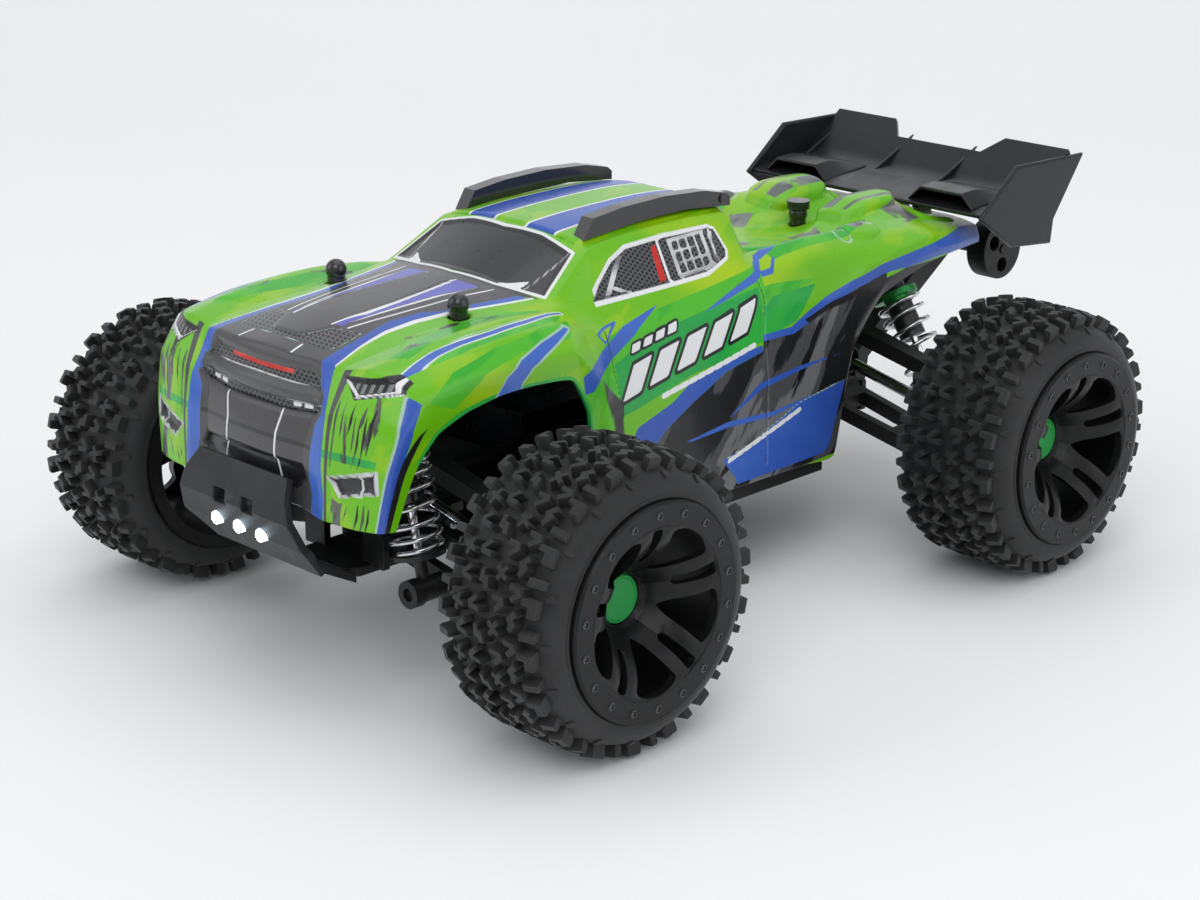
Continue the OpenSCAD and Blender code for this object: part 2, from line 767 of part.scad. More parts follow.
// Catmull-Rom point between b and c at t
function spline(a, b, c, d, t) =
    0.5 * (2 * b + (c - a) * t + (2 * a - 5 * b + 4 * c - d) * t * t + (3 * b - a - 3 * c + d) * t * t * t);

// A row of points refined n times by the spline
function refine(row, n) = [
    for (i = [0:len(row) - 2], k = [0:n - 1])
        spline(row[max(i - 1, 0)], row[i], row[i + 1], row[min(i + 2, len(row) - 1)], k / n),
    row[len(row) - 1]
];

function transpose(grid) = [for (j = [0:len(grid[0]) - 1]) [for (i = [0:len(grid) - 1]) grid[i][j]]];

// The unit normal of the grid at (i, j), pointing out of the body
function grid_normal(g, i, j) =
    let (
        along = g[min(i + 1, len(g) - 1)][j] - g[max(i - 1, 0)][j],
        across = g[i][min(j + 1, len(g[0]) - 1)] - g[i][max(j - 1, 0)],
        n = cross(along, across)
    ) n / norm(n);

module body_skin() {
    rough = [for (r = body_rows) full_row(r)];
    grid = transpose([for (c = transpose([for (r = rough) refine(r, shell_steps)])) refine(c, shell_steps)]);
    rows = len(grid);
    cols = len(grid[0]);
    outer = [for (i = [0:rows - 1], j = [0:cols - 1]) grid[i][j]];
    inner = [for (i = [0:rows - 1], j = [0:cols - 1]) grid[i][j] - shell_t * grid_normal(grid, i, j)];
    n = rows * cols;
    function at(i, j) = i * cols + j;
    skins = [
        for (i = [0:rows - 2], j = [0:cols - 2])
            let (a = at(i, j), b = at(i, j + 1), c = at(i + 1, j + 1), d = at(i + 1, j))
                each [[a, b, c], [a, c, d], [n + a, n + c, n + b], [n + a, n + d, n + c]]
    ];
    hems = [
        for (i = [0:rows - 2], e = [[0, false], [cols - 1, true]])
            let (a = at(i, e[0]), d = at(i + 1, e[0]))
                each (e[1] ? [[a, n + a, n + d], [a, n + d, d]] : [[a, n + d, n + a], [a, d, n + d]])
    ];
    ends = [
        for (j = [0:cols - 2], e = [[0, false], [rows - 1, true]])
            let (a = at(e[0], j), b = at(e[0], j + 1))
                each (e[1] ? [[a, b, n + b], [a, n + b, n + a]] : [[a, n + b, b], [a, n + a, n + b]])
    ];
    polyhedron(concat(outer, inner), concat(skins, hems, ends), convexity = 10);
}

module body_shell() {
    color("#7ac514") difference() {
        body_skin();
        for (s = [-1, 1]) rod_z(front_post_x * s, post_y, post_r + 0.5, 95, 120);
        rod_z(0, rear_post_y, post_r + 0.5, 90, 101);
    }
}

module roof_rails() {
    color("#161618") for (s = [0, 1]) mirror([s, 0, 0]) {
        yz_plate([
            [-55, 121.4], [-51, 127.6], [-38, 129], [-20, 129.4], [-2, 128.2], [8, 126], [10, 124.4],
            [10, 121.6], [-10, 123.6], [-30, 123.4]
        ], 24, 29);
        rod_x(6.4, 124.4, 1.4, 28.5, 29.6);
    }
}

module rear_wing() {
    plate_in = wing_x - 2;
    strut_y = rear_axle_y + tower_y1 + 0.1;
    color("#222326") {
        for (s = [0, 1]) mirror([s, 0, 0]) {
            yz_plate([
                [129, 119.5], [168, 118.5], [152, 97], [151, 88.5], [128, 91], [109, 104]
            ], plate_in, wing_x);
            yz_plate([
                [strut_y, 74], [strut_y, 86], [114, 87], [131, 94],
                [136, 105.8], [143, 106], [139, 90], [124, 78]
            ], 6, 9);
        }
        difference() {
            yz_plate([
                [112, 104.5], [145, 106], [162, 119], [160.5, 120.5], [144, 108.2], [112, 106.5]
            ], 1 - wing_x, wing_x - 1);
            for (s = [-1, 1]) block([28 * s - 9, 118, 100], [28 * s + 9, 123, 110]);
            xz_plate([[-26, 122], [-19, 115.5], [19, 115.5], [26, 122]], 150, 170);
        }
    }
}

module wheelie_bar() {
    hub = wheelie_x - 4.4;
    color("#1b1b1d") {
        yz_plate([
            [104, plate_z + plate_t], [110, plate_z + plate_t], [112, 45], [wheelie_y + 2.5, 77],
            [wheelie_y + 2.5, 83], [wheelie_y - 5.5, 83], [106, 48]
        ], -5, 5);
        rod_x(wheelie_y, wheelie_z, pin_r, -wheelie_x - 4.5, wheelie_x + 4.5);
        rod_x(wheelie_y, wheelie_z, 3.5, 4, hub);
        rod_x(wheelie_y, wheelie_z, 3.5, -hub, -4);
    }
}

module wheelie_wheels() {
    spokes = 3;
    width = 8;
    color("#1b1b1d") for (s = [-1, 1])
        translate([wheelie_x * s, wheelie_y, wheelie_z]) rotate([0, 90, 0]) difference() {
            cylinder(r = wheelie_r, h = width, center = true);
            cylinder(r = bore_r, h = width + 2, center = true);
            for (i = [0:spokes - 1])
                rotate(i * 360 / spokes)
                    translate([5.8, 0, 0]) cylinder(r = 2.6, h = width + 2, center = true);
        }
}

// ---- Nodes ----

for (axle = ["front", "rear"], side = ["left", "right"]) {
    place = str(axle, "_", side);
    tyre(axle, side);
    rim(axle, side);
    lower_arm(axle, side);
    upper_arm(axle, side);
    shock_body(axle, side);
    shock_rod(axle, side);
    spring(axle, side);
    drive_shaft(axle, side);
}
for (side = ["left", "right"]) {
    caster_block(side);
    steering_knuckle(side);
    rear_hub(side);
    tie_rod(side);
}
centre_shaft();
motor_pinion();
motor();
gear_cases();
servo();
servo_horn();
steering_rack();
chassis();
shock_towers();
battery();
receiver();
power_switch();
front_bumper();
front_lamps();
body_posts();
body_shell();
roof_rails();
rear_wing();
wheelie_bar();
wheelie_wheels();
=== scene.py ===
"""Looks of the radio-controlled monster truck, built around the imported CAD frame."""

import json
from math import atan, atan2, ceil, cos, hypot, pi, radians, sin, sqrt

import bmesh
import bpy
import numpy as np
from mathutils import Matrix, Vector


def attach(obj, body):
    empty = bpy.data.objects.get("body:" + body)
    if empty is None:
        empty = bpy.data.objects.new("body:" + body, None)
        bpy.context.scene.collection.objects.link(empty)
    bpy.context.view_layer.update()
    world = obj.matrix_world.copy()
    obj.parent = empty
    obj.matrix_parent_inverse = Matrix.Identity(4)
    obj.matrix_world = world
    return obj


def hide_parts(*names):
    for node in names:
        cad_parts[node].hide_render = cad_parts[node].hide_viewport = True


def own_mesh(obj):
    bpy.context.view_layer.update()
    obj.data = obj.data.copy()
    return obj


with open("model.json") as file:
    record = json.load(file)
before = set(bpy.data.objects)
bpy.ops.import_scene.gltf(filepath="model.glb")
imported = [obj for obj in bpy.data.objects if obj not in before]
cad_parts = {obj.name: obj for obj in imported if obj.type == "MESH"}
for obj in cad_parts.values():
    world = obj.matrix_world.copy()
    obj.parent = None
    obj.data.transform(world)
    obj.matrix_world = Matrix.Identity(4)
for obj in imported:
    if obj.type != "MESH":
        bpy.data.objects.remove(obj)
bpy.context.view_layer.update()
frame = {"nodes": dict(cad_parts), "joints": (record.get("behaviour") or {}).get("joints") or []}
NODES = frame["nodes"]
MM = 0.001
CORNERS = [(a, s) for a in ("front", "rear") for s in ("left", "right")]
AXLE_Y = {"front": -114.5, "rear": 81.5}
WHEEL_X = 95.0
TYRE_R = 44.0
SHOCKS = {"front": (27.5, 87.5, 39.5, 33), "rear": (20, 87, 54, 36)}
SHOCK_PLANE = 15.5

# ---- materials


class Mat:
    """A node material with short helpers for its maths."""

    def __init__(self, name):
        self.mat = bpy.data.materials.new(name)
        self.mat.use_nodes = True
        self.nodes = self.mat.node_tree.nodes
        self.links = self.mat.node_tree.links
        self.bsdf = self.nodes["Principled BSDF"]

    def put(self, socket, value):
        if isinstance(value, bpy.types.NodeSocket):
            self.links.new(value, socket)
        elif isinstance(value, (tuple, list)) and socket.type == "RGBA":
            socket.default_value = (*value[:3], 1)
        else:
            socket.default_value = value

    def set(self, **values):
        for key, value in values.items():
            self.put(self.bsdf.inputs[key.replace("_", " ")], value)

    def new(self, kind, *values):
        """A shader node with its first inputs set or linked."""
        node = self.nodes.new("ShaderNode" + kind)
        for socket, value in zip(node.inputs, values):
            self.put(socket, value)
        return node

    def math(self, op, *values):
        node = self.new("Math", *values)
        node.operation = op
        return node.outputs[0]

    def mix(self, factor, a, b):
        node = self.new("Mix", factor)
        node.data_type = "RGBA"
        self.put(node.inputs[6], a)
        self.put(node.inputs[7], b)
        return node.outputs[2]

    def step(self, value, low, high):
        node = self.new("MapRange", value, low, high)
        node.interpolation_type = "SMOOTHSTEP"
        return node.outputs[0]

    def coords(self, scale=(1, 1, 1), turn=(0, 0, 0)):
        node = self.new("Mapping", self.new("TexCoord").outputs["Object"])
        node.vector_type = "TEXTURE"
        node.inputs["Scale"].default_value = [1 / c for c in scale]
        node.inputs["Rotation"].default_value = turn
        return node.outputs[0]

    def axes(self):
        return self.new("SeparateXYZ", self.coords()).outputs

    def noise(self, scale, stretch=(1, 1, 1), turn=(0, 0, 0), detail=4.0):
        node = self.new("TexNoise", self.coords(stretch, turn))
        node.inputs["Scale"].default_value = scale
        node.inputs["Detail"].default_value = detail
        return node.outputs[0]

    def attr(self, name):
        node = self.new("Attribute")
        node.attribute_name = name
        return node.outputs["Fac"]

    def bump(self, height, strength, distance):
        node = self.new("Bump")
        self.put(node.inputs["Height"], height)
        node.inputs["Strength"].default_value = strength
        node.inputs["Distance"].default_value = distance
        self.set(Normal=node.outputs[0])


def plastic(name, color, rough, grain=900.0, depth=0.00008, lift=1.35, spec=0.5, coat=0.0):
    """Moulded plastic: fine grain, slow tone changes and scuffs in its roughness."""
    m = Mat(name)
    tone = m.noise(60)
    bright = tuple(min(1, c * lift) for c in color)
    m.set(Base_Color=m.mix(m.step(tone, 0.35, 0.7), color, bright))
    scuff = m.noise(240, (1, 0.25, 1), detail=6.0)
    m.set(Roughness=m.math("MULTIPLY_ADD", scuff, 0.22, rough - 0.11))
    m.set(Specular_IOR_Level=spec, Coat_Weight=coat, Coat_Roughness=0.12)
    m.bump(m.noise(grain, detail=3.0), 0.35, depth)
    return m.mat


def metal(name, color, rough, stretch=(1, 1, 1), depth=0.00003):
    """Turned or drawn metal with fine marks along one direction."""
    m = Mat(name)
    marks = m.noise(700, stretch, detail=5.0)
    m.set(Metallic=1.0)
    dark = tuple(c * 0.8 for c in color)
    m.set(Base_Color=m.mix(m.step(marks, 0.3, 0.7), dark, color))
    m.set(Roughness=m.math("MULTIPLY_ADD", marks, 0.16, rough - 0.05))
    m.bump(marks, 0.3, depth)
    return m.mat


def rubber(name):
    """Tyre rubber: dusty grey-black with mould grain."""
    m = Mat(name)
    dust = m.noise(45, detail=8.0)
    fine = m.noise(1400, detail=4.0)
    m.set(Base_Color=m.mix(m.step(dust, 0.4, 0.75), (0.015, 0.015, 0.0155), (0.027, 0.027, 0.028)))
    m.set(Roughness=m.math("MULTIPLY_ADD", fine, 0.2, 0.5))
    m.set(Specular_IOR_Level=0.35, Sheen_Weight=0.12, Sheen_Roughness=0.5)
    m.bump(fine, 0.4, 0.0001)
    return m.mat


RUBBER = rubber("tyre_rubber")
BLACK = plastic("black_nylon", (0.012, 0.012, 0.0125), 0.46, 900, 0.00008, 1.35, 0.3)
RIM_BLACK = plastic("rim_plastic", (0.007, 0.007, 0.0075), 0.34, 500, 0.00003, 1.3, 0.26, 0.05)
WING = plastic("wing_plastic", (0.012, 0.0125, 0.0135), 0.32, 420, 0.00003, 1.3, 0.35, 0.08)
BUMPER = plastic("bumper_plastic", (0.019, 0.0195, 0.021), 0.42, 900, 0.00006, 1.35, 0.3)
GLOSS_BLACK = plastic("gloss_black", (0.01, 0.01, 0.011), 0.22, 300, 0.00002, 1.2, 0.5, 0.5)
GREY_BOX = plastic("electronics_case", (0.035, 0.036, 0.042), 0.45)
WHITE = plastic("horn_plastic", (0.7, 0.7, 0.68), 0.4)
WRAP = plastic("battery_wrap", (0.012, 0.014, 0.02), 0.25, 120, 0.0003, 1.3, 0.5, 0.4)
RED = plastic("switch_plastic", (0.55, 0.02, 0.015), 0.3)
CAP_GREEN = plastic("cap_green", (0.012, 0.27, 0.05), 0.36, 700, 0.00004, 1.2, 0.3)
CHROME = metal("chrome", (0.86, 0.87, 0.89), 0.1)
STEEL = metal("steel_rod", (0.66, 0.67, 0.69), 0.2, (0.1, 1, 1))
SPRING = metal("spring_wire", (0.75, 0.76, 0.78), 0.18)
CAN = metal("motor_can", (0.6, 0.61, 0.63), 0.3, (1, 0.05, 1))
BRASS = metal("brass", (0.76, 0.56, 0.22), 0.25)


def lamp_glow():
    m = Mat("lamp_glow")
    m.set(Base_Color=(0.8, 0.93, 1), Roughness=0.1)
    cell = m.noise(900, detail=2.0)
    m.set(Emission_Color=m.mix(cell, (0.45, 0.75, 1), (0.9, 0.97, 1)), Emission_Strength=6.0)
    return m.mat


LAMP = lamp_glow()


def along_shock(m, axle):
    """Distance down the shock from its top pivot, in metres, for either side."""
    tx, tz, bx, bz = SHOCKS[axle]
    down = Vector((bx - tx, 0, bz - tz)).normalized()
    ax, _, az = m.axes()
    x = m.math("SUBTRACT", m.math("ABSOLUTE", ax), tx * MM)
    z = m.math("SUBTRACT", az, tz * MM)
    return m.math("ADD", m.math("MULTIPLY", x, down.x), m.math("MULTIPLY", z, down.z))


def banded_shock():
    """Rear shock body: a green cap and a green collar on black, told apart along the shock."""
    m = Mat("rear_shock_body")
    along = along_shock(m, "rear")
    cap = m.step(along, 0.0092, 0.009)
    collar = m.math("MULTIPLY", m.step(along, 0.0134, 0.0136), m.step(along, 0.0172, 0.017))
    green = m.math("MAXIMUM", cap, collar)
    tone = m.noise(300, detail=4.0)
    paint = m.mix(tone, (0.02, 0.27, 0.05), (0.045, 0.42, 0.1))
    m.set(Base_Color=m.mix(green, (0.014, 0.014, 0.015), paint), Metallic=m.math("MULTIPLY", green, 0.6))
    m.set(Roughness=m.math("MULTIPLY_ADD", tone, 0.2, 0.25))
    m.bump(m.noise(900, (1, 1, 0.1), detail=3.0), 0.5, 0.0002)
    return m.mat


def rod_with_seat(axle):
    """Polished rod with a black spring seat and eye at its lower end."""
    m = Mat(f"shock_rod_{axle}")
    tx, tz, bx, bz = SHOCKS[axle]
    seat = hypot(bx - tx, bz - tz) * MM - 0.0117
    black = m.step(along_shock(m, axle), seat - 0.0001, seat)
    marks = m.noise(600, detail=5.0)
    m.set(Base_Color=m.mix(black, (0.82, 0.83, 0.85), (0.012, 0.012, 0.013)))
    m.set(Metallic=m.math("SUBTRACT", 1, black))
    m.set(Roughness=m.math("MULTIPLY_ADD", black, 0.28, m.math("MULTIPLY_ADD", marks, 0.14, 0.08)))
    m.bump(marks, 0.3, 0.00004)
    return m.mat


REAR_SHOCK = banded_shock()
SHOCK_ROD = {axle: rod_with_seat(axle) for axle in SHOCKS}

# ---- mesh helpers


def add_mesh(name, verts, faces, mat, scale=MM):
    mesh = bpy.data.meshes.new(name)
    mesh.from_pydata([tuple(c * scale for c in v) for v in verts], [], faces)
    mesh.validate()
    obj = bpy.data.objects.new(name, mesh)
    bpy.context.scene.collection.objects.link(obj)
    if mat:
        mesh.materials.append(mat)
    mesh.shade_smooth()
    return obj


def tidy_normals(obj):
    bm = bmesh.new()
    bm.from_mesh(obj.data)
    bmesh.ops.recalc_face_normals(bm, faces=bm.faces)
    bm.to_mesh(obj.data)
    bm.free()


def modify(obj, kind, **settings):
    mod = obj.modifiers.new(kind.lower(), kind)
    for key, value in settings.items():
        setattr(mod, key, value)


def bevel(obj, width):
    modify(obj, "BEVEL", width=width, segments=2, limit_method="ANGLE", angle_limit=radians(35))


class Build:
    """Collects vertices and faces of one piece, in millimetres."""

    def __init__(self):
        self.verts, self.faces, self.slots = [], [], []

    def add(self, verts, faces, slot=0):
        n = len(self.verts)
        self.verts += [tuple(v) for v in verts]
        self.faces += [tuple(n + i for i in f) for f in faces]
        self.slots += [slot] * len(faces)

    def loft(self, *rings):
        """Skin over rings of points, with flat ends."""
        n = len(rings[0])
        faces = [(j + i, j + (i + 1) % n, j + n + (i + 1) % n, j + n + i)
                 for j in range(0, n * (len(rings) - 1), n) for i in range(n)]
        faces += [tuple(range(n - 1, -1, -1)), tuple(range(n * (len(rings) - 1), n * len(rings)))]
        self.add([p for ring in rings for p in ring], faces)

    def slab(self, top, low, cols):
        """Plate between two grids of points with cols points in each row."""
        n, rows = len(top), len(top) // cols
        quads = [(i * cols + c, i * cols + c + 1, (i + 1) * cols + c + 1, (i + 1) * cols + c)
                 for i in range(rows - 1) for c in range(cols - 1)]
        rim = [(i * cols + c, (i + 1) * cols + c) for i in range(rows - 1) for c in (0, cols - 1)]
        rim += [(i * cols + c, i * cols + c + 1) for i in (0, rows - 1) for c in range(cols - 1)]
        under = [tuple(n + v for v in reversed(q)) for q in quads]
        self.add(list(top) + list(low), quads + under + [(p, q, n + q, n + p) for p, q in rim])

    def revolve(self, profile, steps, place, slot=0):
        """profile is a closed ring of (r, x) pairs; place maps (angle, r, x) to a point."""
        n = len(profile)
        verts = [place(2 * pi * k / steps, r, x) for k in range(steps) for r, x in profile]
        faces = [(k * n + i, k * n + (i + 1) % n, (k + 1) % steps * n + (i + 1) % n, (k + 1) % steps * n + i)
                 for k in range(steps) for i in range(n)]
        self.add(verts, faces, slot)

    def make(self, name, mats, smooth_angle=35):
        obj = add_mesh(name, self.verts, self.faces, None)
        for m in mats:
            obj.data.materials.append(m)
        for p, s in zip(obj.data.polygons, self.slots):
            p.material_index = s
        tidy_normals(obj)
        obj.data.shade_smooth()
        obj.data.set_sharp_from_angle(angle=radians(smooth_angle))
        return obj


def enter(obj, body, replaced=None):
    """Parents a piece to the body it moves with, and hides the CAD node it stands for where one is given."""
    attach(obj, body)
    if replaced:
        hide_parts(replaced)


def wheel_place(axle, side):
    """Maps wheel coordinates (angle, radius, x outward) to the truck's frame."""
    s = 1 if side == "left" else -1
    y0 = AXLE_Y[axle]

    def place(a, r, x):
        return (s * (WHEEL_X + x), y0 + r * cos(a), TYRE_R + r * sin(a))

    return place


# ---- tyres

# Half of the tyre's outline: (across, radius)
CROWN = [(-21.45, 32.4), (-21.3, 34.4), (-20.5, 36.6), (-18.8, 38.3), (-16, 39.4), (-12, 40.1),
         (-6, 40.5), (0, 40.6)]
CROWN += [(-x, r) for x, r in CROWN[-2::-1]]
LUG_PERIODS = 18


def crown(w):
    """Radius and slope of the tread at distance w across the tyre."""
    for (x0, r0), (x1, r1) in zip(CROWN, CROWN[1:]):
        if x0 <= w <= x1:
            return r0 + (r1 - r0) * (w - x0) / (x1 - x0), (r1 - r0) / (x1 - x0)
    return CROWN[0][1], 1.5


# Lug outlines: (along the tread, across it) in mm, about the lug's middle
LUG_V = [(-2.9, -2.3), (-1.2, -2.5), (0.3, 0.5), (1.7, -2.5), (3.2, -1.8), (1.5, 2.4), (-0.9, 2.4)]
LUG_X = [(-2.8, -1.7), (-1.5, -2.6), (0.1, -1), (1.6, -2.6), (2.8, -1.6), (1.3, 0.1), (2.7, 1.8),
         (1.3, 2.6), (-0.1, 1.1), (-1.5, 2.5), (-2.8, 1.5), (-1.4, 0)]
LUG_Z = [(-3.3, -1.5), (0.6, -2.2), (1.6, 0.1), (3.3, 0.5), (3, 2.3), (-0.6, 1.9), (-1.2, 0.3),
         (-3, 0.4)]
LUG_L = [(-2.7, -2.7), (-0.9, -2.7), (-0.7, 0.3), (2.7, 0.3), (2.7, 2.2), (-2.7, 2.2)]
LUG_T = [(-1.3, -2.5), (1.3, -2.5), (1.3, 2.3), (-1.3, 2.3)]
LUG_SCALE = 0.88
LUG_EDGE = 20.6
LUG_PIP = [(1.3 * cos(pi * k / 6), 1.3 * sin(pi * k / 6)) for k in range(12)]
# (outline, along in periods, across in mm, turn in degrees, height)
LUGS = [
    (LUG_Z, 0, -1.3, 12, 3.4), (LUG_V, 0.5, -3.6, -160, 3.4), (LUG_V, 0.3, 5.4, 20, 3.4),
    (LUG_X, 0.8, 4.4, 8, 3.4), (LUG_V, 0.02, -7.9, 195, 3.4), (LUG_X, 0.55, -9.6, 30, 3.5),
    (LUG_V, 0.04, 10.4, 15, 3.5), (LUG_Z, 0.56, 10.6, -35, 3.5), (LUG_L, 0.25, 15.1, 0, 4),
    (LUG_L, 0.78, -15.1, 180, 4), (LUG_T, 0.78, 15.3, 0, 3.6), (LUG_T, 0.28, -15.3, 0, 3.6),
    (LUG_PIP, 0.02, 18.9, 0, 0.7), (LUG_PIP, 0.52, -18.9, 0, 0.7),
]


def make_tyre(axle, side):
    place = wheel_place(axle, side)
    b = Build()
    outer = [(31.6, -21)] + [(r, w) for w, r in CROWN] + [(31.6, 21)]
    bulge = [(29.9, 19.8), (33, 18.6), (37.5, 16.5), (38.8, 10), (38.8, -10), (37.5, -16.5),
             (33, -18.6), (29.9, -19.8)]
    b.revolve(outer + bulge, 96, place)
    per = 2 * pi / LUG_PERIODS
    for k in range(LUG_PERIODS):
        for outline, along, across, turn, height in LUGS:
            t = radians(turn)
            rings = []
            for lift, grow in ((-1.2, 1.12), (height * 0.8, 1), (height, 0.86)):
                ring = []
                for s, w in outline:
                    s, w = s * grow * LUG_SCALE, w * grow * LUG_SCALE
                    s, w = s * cos(t) - w * sin(t), s * sin(t) + w * cos(t)
                    w = max(-LUG_EDGE, min(LUG_EDGE, across + w))
                    r, slope = crown(w)
                    tilt = atan(slope)
                    a = (k + along) * per + s / 41.5
                    rr = min(TYRE_R, r + lift * cos(tilt))
                    ring.append(place(a, rr, w - lift * sin(tilt)))
                rings.append(ring)
            b.loft(*rings)
    # raised rib at the bead
    for sgn in (-1, 1):
        rib = [(31.9, 20.6), (32.2, 21.7), (33, 21.7), (33.4, 20.6)]
        b.revolve([(r, sgn * w) for r, w in rib], 96, place)
    tyre = b.make(f"tyre_{axle}_{side}_tread", [RUBBER], 30)
    enter(tyre, f"wheel_{axle}_{side}", f"tyre_{axle}_{side}")


# ---- rims

SPOKES = 5
SPOKE_THICK = 2.6
SCREWS = 18
SCREW_CIRCLE = 28.2
# Rows of a spoke, closer together where its slot and window end
SPOKE_RADII = [7.4, 8.2, 9, 9.8, 10.6, 10.64, 10.9, 11.4, 12.2, 13, 13.03, 13.2, 13.6, 14.2, 15,
               16.5, 18, 19.5, 21, 22, 22.6, 23.2, 23.7, 24.05, 24.2, 24.4, 24.56, 24.6, 25.4]
FACE_X = 8.3


def dish(r):
    """How far out the spoke's face is at radius r."""
    t = max(0, min(1, (r - 8) / 16.6))
    return FACE_X + 14.6 * sin(t * pi / 2) ** 0.85


def spoke_edges(r):
    """Half angles where a split spoke starts and ends at radius r, in radians."""
    full = r * pi / SPOKES
    slot = 0.0
    if 13.0 < r < 24.2:
        end = min(r - 13, 24.2 - r)
        slot = (1.3 + 0.06 * (r - 13)) * sqrt(max(0, 1 - (1 - min(1, end / 0.9)) ** 2))
    outer = full
    if 10.6 < r < 24.6:
        end = min(r - 10.6, 24.6 - r)
        side = 5.5 + 0.05 * (r - 10.6)
        outer = full - (full - side) * sqrt(max(0, 1 - (1 - min(1, end / 2.6)) ** 2))
    return slot / r, max(min(outer, full), 0.3) / r


def make_rim(axle, side):
    place = wheel_place(axle, side)
    b = Build()
    steps = 120
    # barrel with its bead ring, inner side open
    b.revolve([(27.4, -23.2), (31.4, -23.2), (31.4, -20.6), (29.7, -20.2), (29.7, 20.2), (31.4, 20.6),
               (31.4, 22.9), (31, 23.4), (25.1, 23.4), (24.7, 23.1), (24.7, 21.2), (27.2, 20.4),
               (27.2, -18)], steps, place)
    b.revolve([(31.4, 23), (31.7, 22.7), (31.7, 21.4), (31.3, 21.2)], steps, place)
    # split spokes
    cols = 5
    for k in range(SPOKES):
        mid = 2 * pi * k / SPOKES + pi / 2
        for half in (-1, 1):
            top = []
            for r in SPOKE_RADII:
                a0, a1 = spoke_edges(r)
                for c in range(cols):
                    t = c / (cols - 1)
                    swell = 0.35 * sin(pi * t)
                    top.append((mid + half * (a0 + (a1 - a0) * t), r, dish(r) + swell))
            low = [(a, r, x - SPOKE_THICK) for a, r, x in top]
            b.slab([place(*p) for p in top], [place(*p) for p in low], cols)
    # hub with the nut's recess and its back boss
    b.revolve([(7.3, 8.6), (8, 9.4), (8.8, 8.8), (8.8, 5), (8, 4), (8, -15), (2.6, -15),
               (2.6, 5.6), (7.3, 6)], 64, place)
    # screws of the ring
    for k in range(SCREWS):
        a = 2 * pi * (k + 0.5) / SCREWS
        cy, cz = SCREW_CIRCLE * cos(a), SCREW_CIRCLE * sin(a)

        def spot(t, r, x, cy=cy, cz=cz):
            y, z = cy + r * cos(t), cz + r * sin(t)
            return place(atan2(z, y), hypot(y, z), x)

        b.revolve([(0.7, 23.15), (0.75, 23.7), (1.05, 23.8), (1.3, 23.55), (1.35, 23.2)], 14, spot, 1)
        b.revolve([(0, 23.45), (0.45, 23.45), (0.6, 23.2), (0, 23.2)], 6, spot, 1)
    rim = b.make(f"rim_{axle}_{side}_spokes", [RIM_BLACK, GLOSS_BLACK], 30)
    cap = Build()
    cap.revolve([(0, 8.5), (5.9, 8.5), (6.2, 8.8), (6.7, 8.7), (7.1, 8.2), (7.1, 6.4), (0, 6.4)], 64,
                place)
    cap = cap.make(f"hub_cap_{axle}_{side}", [CAP_GREEN])
    axle_piece = Build()
    inner = 60.0 - WHEEL_X
    axle_piece.revolve([(4, inner), (5, inner), (5, inner + 8.5), (2.5, inner + 8.5), (2.5, 6.3),
                        (0, 6.3), (0, inner + 7.5), (4, inner + 7.5)], 40, place)
    axle_piece = axle_piece.make(f"stub_axle_{axle}_{side}", [STEEL])
    body = f"wheel_{axle}_{side}"
    enter(rim, body, f"rim_{axle}_{side}")
    enter(cap, body)
    enter(axle_piece, body)


# ---- springs

SEAT_TO_EYE = 11.6  # from the lower eye up to the spring's seat
BODY_TO_PIVOT = 15.7  # from the top pivot down to the spring's upper end


def shock_axis(axle, side):
    """Top pivot and the unit vector down the shock, in mm."""
    tx, tz, bx, bz = SHOCKS[axle]
    s = 1 if side == "left" else -1
    y = AXLE_Y[axle] + (-SHOCK_PLANE if axle == "front" else SHOCK_PLANE)
    top = Vector((tx * s, y, tz))
    down = Vector(((bx - tx) * s, 0, bz - tz))
    return top, down.normalized(), down.length


def make_spring(axle, side):
    top, down, length = shock_axis(axle, side)
    seat, high = length - SEAT_TO_EYE, BODY_TO_PIVOT
    turns, per, sides, wire, radius = 6.5, 40, 12, 0.75, 7.4
    across = Vector((0, 1, 0))
    third = down.cross(across)
    total = int(turns * per)
    verts, faces = [], []
    for i in range(total + 1):
        a = 2 * pi * i / per
        t = i / total
        # the end turns lie closer together
        ease = t - 0.045 * sin(2 * pi * t)
        d = high + wire + (seat - high - 2 * wire) * min(1, max(0, ease))
        out = across * cos(a) + third * sin(a)
        for k in range(sides):
            b_ = 2 * pi * k / sides
            p = top + down * (d + wire * sin(b_)) + out * (radius + wire * cos(b_))
            verts.append(tuple(p))
    for i in range(total):
        for k in range(sides):
            n = (k + 1) % sides
            faces.append((i * sides + k, i * sides + n, (i + 1) * sides + n, (i + 1) * sides + k))
    faces += [tuple(range(sides - 1, -1, -1)), tuple(range(total * sides, (total + 1) * sides))]
    coil = add_mesh(f"coil_{axle}_{side}", verts, faces, SPRING)
    tidy_normals(coil)
    joint = next(j for j in frame["joints"] if j["name"] == f"shock_travel_{axle}_{side}")
    travel = max(abs(v) for v in joint["range_m"]) * 1000
    enter(coil, f"shock_rod_{axle}_{side}", f"spring_{axle}_{side}")
    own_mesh(coil)


for axle, side in CORNERS:
    make_tyre(axle, side)
    make_rim(axle, side)
    make_spring(axle, side)

# ---- body shell

